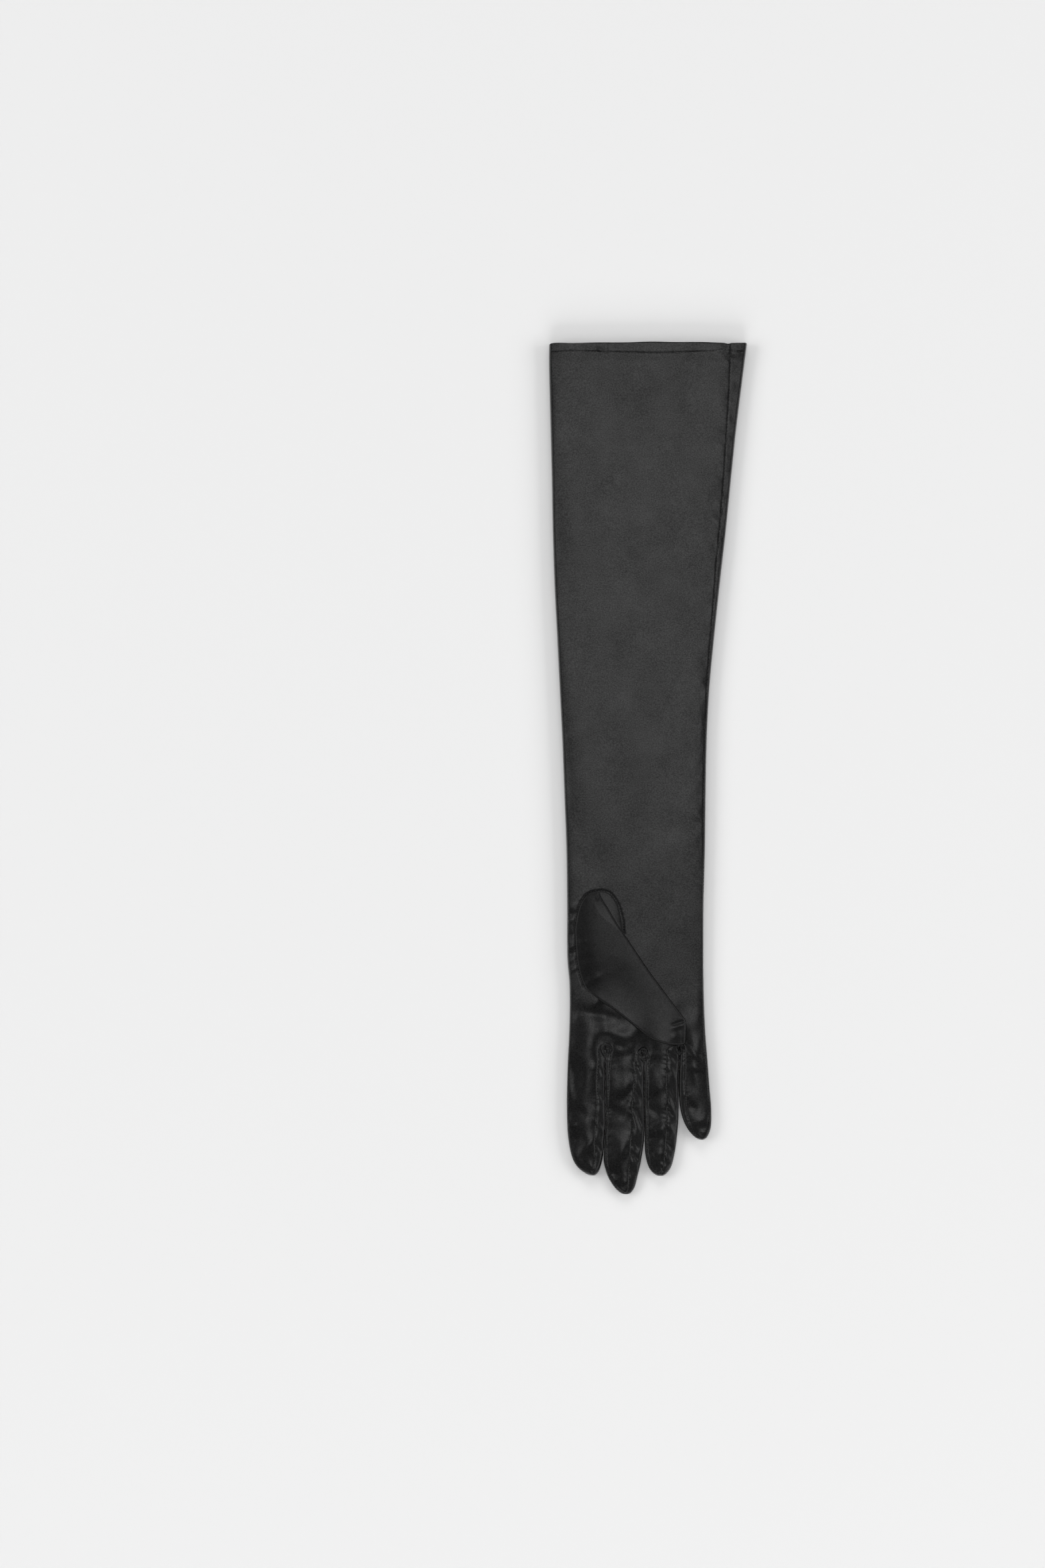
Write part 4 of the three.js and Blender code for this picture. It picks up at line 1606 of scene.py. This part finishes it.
@dataclass(frozen=True)
class Satin:
    """A black satin finish.

    Attributes:
        name: the material's name.
        shade: how much light the cloth sends back all round, from 0 to 1.
        roughness: how soft its gloss is.
        gloss: how strong the threads' own gloss is.
        glaze: how strong the woven floats' gloss is, which the grain varies.
        contrast: how strongly the grain varies them.
    """

    name: str
    shade: float
    roughness: float
    gloss: float
    glaze: float
    contrast: float = 0.5

    def build(self, weave: bpy.types.NodeTree) -> bpy.types.Material:
        """Args:
            weave: the group that gives the grain.

        Returns:
            The material.
        """
        material = bpy.data.materials.new(self.name)
        material.use_nodes = True
        nodes, links = material.node_tree.nodes, material.node_tree.links
        shader = nodes["Principled BSDF"]
        grain = nodes.new("ShaderNodeGroup")
        grain.node_tree = weave
        grain.inputs["Contrast"].default_value = self.contrast
        tint = nodes.new("ShaderNodeVectorMath")
        tint.operation = "SCALE"
        tint.inputs[0].default_value = (self.shade, self.shade, self.shade * 1.03)
        links.new(grain.outputs["Value"], tint.inputs["Scale"])
        links.new(tint.outputs[0], shader.inputs["Base Color"])
        links.new(grain.outputs["Normal"], shader.inputs["Normal"])
        glaze = nodes.new("ShaderNodeMath")
        glaze.operation = "MULTIPLY"
        glaze.inputs[1].default_value = self.glaze
        links.new(grain.outputs["Value"], glaze.inputs[0])
        links.new(glaze.outputs[0], shader.inputs["Coat Weight"])
        shader.inputs["Coat Roughness"].default_value = self.roughness
        shader.inputs["Roughness"].default_value = self.roughness
        shader.inputs["Specular IOR Level"].default_value = self.gloss
        shader.inputs["Sheen Weight"].default_value = 0.006
        shader.inputs["Sheen Roughness"].default_value = 0.5
        return material


FINISHES = {
    "satin": Satin("satin_black", 0.003, 0.33, 0.29, 0.42),
    "satin_hem": Satin("satin_black_hem", 0.003, 0.35, 0.29, 0.4),
    "satin_thumb": Satin("satin_black_thumb", 0.003, 0.34, 0.26, 0.37, 0.35),
    "satin_fourchette": Satin("satin_black_strip", 0.003, 0.34, 0.34, 0.5, 0.35),
    "satin_gusset": Satin("satin_black_gusset", 0.003, 0.35, 0.3, 0.4, 0.35),
}
THREAD = Satin("black_thread", 0.004, 0.6, 0.15, 0.0)


@dataclass
class Studio:
    """The pale table, the light and the camera above.

    Attributes:
        distance: the camera's height.
        picture_height: the length of the table that the picture shows.
        floor_size: the table's width.
        surround: the brightness of the room.
        overhead: the brightness of the panel above.
        panels: each low panel's place and how brightly it lights the floor.
        glow: how bright the low panels look in the satin.
    """

    distance: float = 3.2
    picture_height: float = PHOTO_SIZE[1] * PIXEL * MM
    floor_size: float = 12.0
    surround: float = 0.09
    overhead: float = 1.94
    panels: dict[str, tuple[float, float, float, float]] = field(
        default_factory=lambda: {
            "left": (-2.7, 0.2, 1.8, 4.9),
            "right": (2.7, 0.0, 1.4, 4.85),
            "far": (0.0, 2.7, 1.8, 4.75),
            "near": (0.0, -2.7, 1.3, 4.85),
        }
    )
    glow: float = 1.05
    PANEL_SIZE = (4.4, 1.4)
    FLOOD_SIZE = (2.2, 1.4)
    GLOW_ON_FLOOR = 1.6  # how much of a flood's light the dim panel behind it already gives

    def floor(self) -> bpy.types.Object:
        """Returns the pale table top."""
        half = self.floor_size / 2
        corners = [(-half, -half, 0), (half, -half, 0), (half, half, 0), (-half, half, 0)]
        mesh = bpy.data.meshes.new("table_top")
        mesh.from_pydata([(x, y, -0.0001) for x, y, _ in corners], [], [(0, 1, 2, 3)])
        material = bpy.data.materials.new("pale_paper")
        material.use_nodes = True
        shader = material.node_tree.nodes["Principled BSDF"]
        shader.inputs["Base Color"].default_value = (0.86, 0.86, 0.86, 1)
        shader.inputs["Roughness"].default_value = 0.9
        shader.inputs["Specular IOR Level"].default_value = 0.1
        mesh.materials.append(material)
        floor = bpy.data.objects.new("table_top", mesh)
        bpy.context.scene.collection.objects.link(floor)
        return floor

    @staticmethod
    def lamp(
        name: str, place_at: Point3, size: tuple[float, float], radiance: float, target: Point3
    ) -> bpy.types.Object:
        """Args:
            name: the lamp's name.
            place_at: where it stands.
            size: its width and height.
            radiance: how bright its face looks.
            target: where it points.

        Returns:
            The new lamp.
        """
        data = bpy.data.lights.new(name, "AREA")
        data.shape = "RECTANGLE"
        data.size, data.size_y = size
        data.energy = radiance * math.pi * size[0] * size[1]
        lamp = bpy.data.objects.new(name, data)
        lamp.location = place_at
        lamp.rotation_euler = (Vector(target) - Vector(place_at)).to_track_quat("-Z", "Y").to_euler()
        bpy.context.scene.collection.objects.link(lamp)
        return lamp

    def light(self) -> None:
        """Hangs the dim panels that the satin sees and the floods that light the table, in a pale surround.

        The floods are hidden from reflections, so the table is bright while the satin stays dark.
        """
        self.lamp("overhead", (0.086, 0.34, 3.4), (1.5, 1.38), self.overhead, (0.05, 0.17, 0))
        for name, (x, y, z, radiance) in self.panels.items():
            self.lamp(f"panel_{name}", (x, y, z), self.PANEL_SIZE, self.glow, (0, 0, 0))
            rest = radiance - self.glow * self.GLOW_ON_FLOOR
            flood = self.lamp(f"flood_{name}", (x, y, z), self.FLOOD_SIZE, rest, (0, 0, 0))
            flood.visible_glossy = False
        world = bpy.data.worlds.new("surround")
        world.use_nodes = True
        background = world.node_tree.nodes["Background"]
        background.inputs["Color"].default_value = (1, 1, 1, 1)
        background.inputs["Strength"].default_value = self.surround
        bpy.context.scene.world = world

    def camera(self) -> bpy.types.Object:
        """Returns the camera, looking straight down."""
        data = bpy.data.cameras.new("camera")
        data.sensor_width = 36.0
        data.lens = 36.0 * self.distance / self.picture_height
        data.clip_end = 20
        camera = bpy.data.objects.new("camera", data)
        x, y = place(PHOTO_SIZE[0] / 2, PHOTO_SIZE[1] / 2)
        camera.location = ((x + ROW_SHIFT[0]) * MM, (y + ROW_SHIFT[1]) * MM, self.distance + 0.006)
        bpy.context.scene.collection.objects.link(camera)
        bpy.context.scene.camera = camera
        return camera

    def build(self) -> None:
        """Sets the whole studio up."""
        self.camera()
        self.floor()
        self.light()
        view = bpy.context.scene.view_settings
        view.view_transform = "Standard"
        view.look = "None"


def finish_piece(piece: bpy.types.Object, slot: str, *nodes: str) -> None:
    """Args:
        piece: a new piece.
        slot: not used.
        nodes: the solids that it stands for.
    """
    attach(piece, ROOT)
    if nodes:
        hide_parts(*nodes)
    LOG.info("%s has %d faces", piece.name, len(piece.data.polygons))


def main() -> None:
    """Builds the studio and the glove, piece by piece."""
    logging.basicConfig(level=logging.INFO)
    Studio().build()
    weave = weave_group()
    satin = {name: finish.build(weave) for name, finish in FINISHES.items()}
    trank = Trank()
    hand = trank.build(satin["satin"])
    finish_piece(hand, "satin", "hand_and_sleeve")
    finish_piece(HemBand(trank).build(satin["satin_hem"]), "satin_hem", "hem_turning")
    thumb = Thumb().build(satin["satin_thumb"])
    finish_piece(thumb, "satin_thumb", "thumb")
    strips = []
    for name in ("index_middle", "middle_ring", "ring_little"):
        strip = Fourchette(name, trank).build(satin["satin_fourchette"])
        finish_piece(strip, "satin_fourchette", f"fourchette_{name}")
        strips.append(strip)
    gussets = (
        Gusset("index_middle", place(909.5, 1574), 3.9, 1),
        Gusset("middle_ring", place(965, 1581), 3.6, 4),
        Gusset("ring_little", place(1020, 1573), 3.2, 7),
    )
    for gusset in gussets:
        finish_piece(gusset.build(satin["satin_gusset"]), "satin_gusset", f"gusset_{gusset.name}")
    thread = THREAD.build(weave)
    zigzag, straight = Stitching(), Stitching(length=1.35, thickness=0.3, slant=5.0)
    pieces = (
        ("finger_stitches", zigzag, FINGER_SEAMS, [hand, *strips]),
        ("side_and_hem_stitches", straight, (SIDE, HEM), [hand]),
        ("thumb_stitches", zigzag, (THUMB_HOLE,), [hand, thumb]),
    )
    for name, stitching, seams, cloth in pieces:
        finish_piece(stitching.build(name, seams, cloth, thread), "satin")


if __name__ == "__main__":
    main()
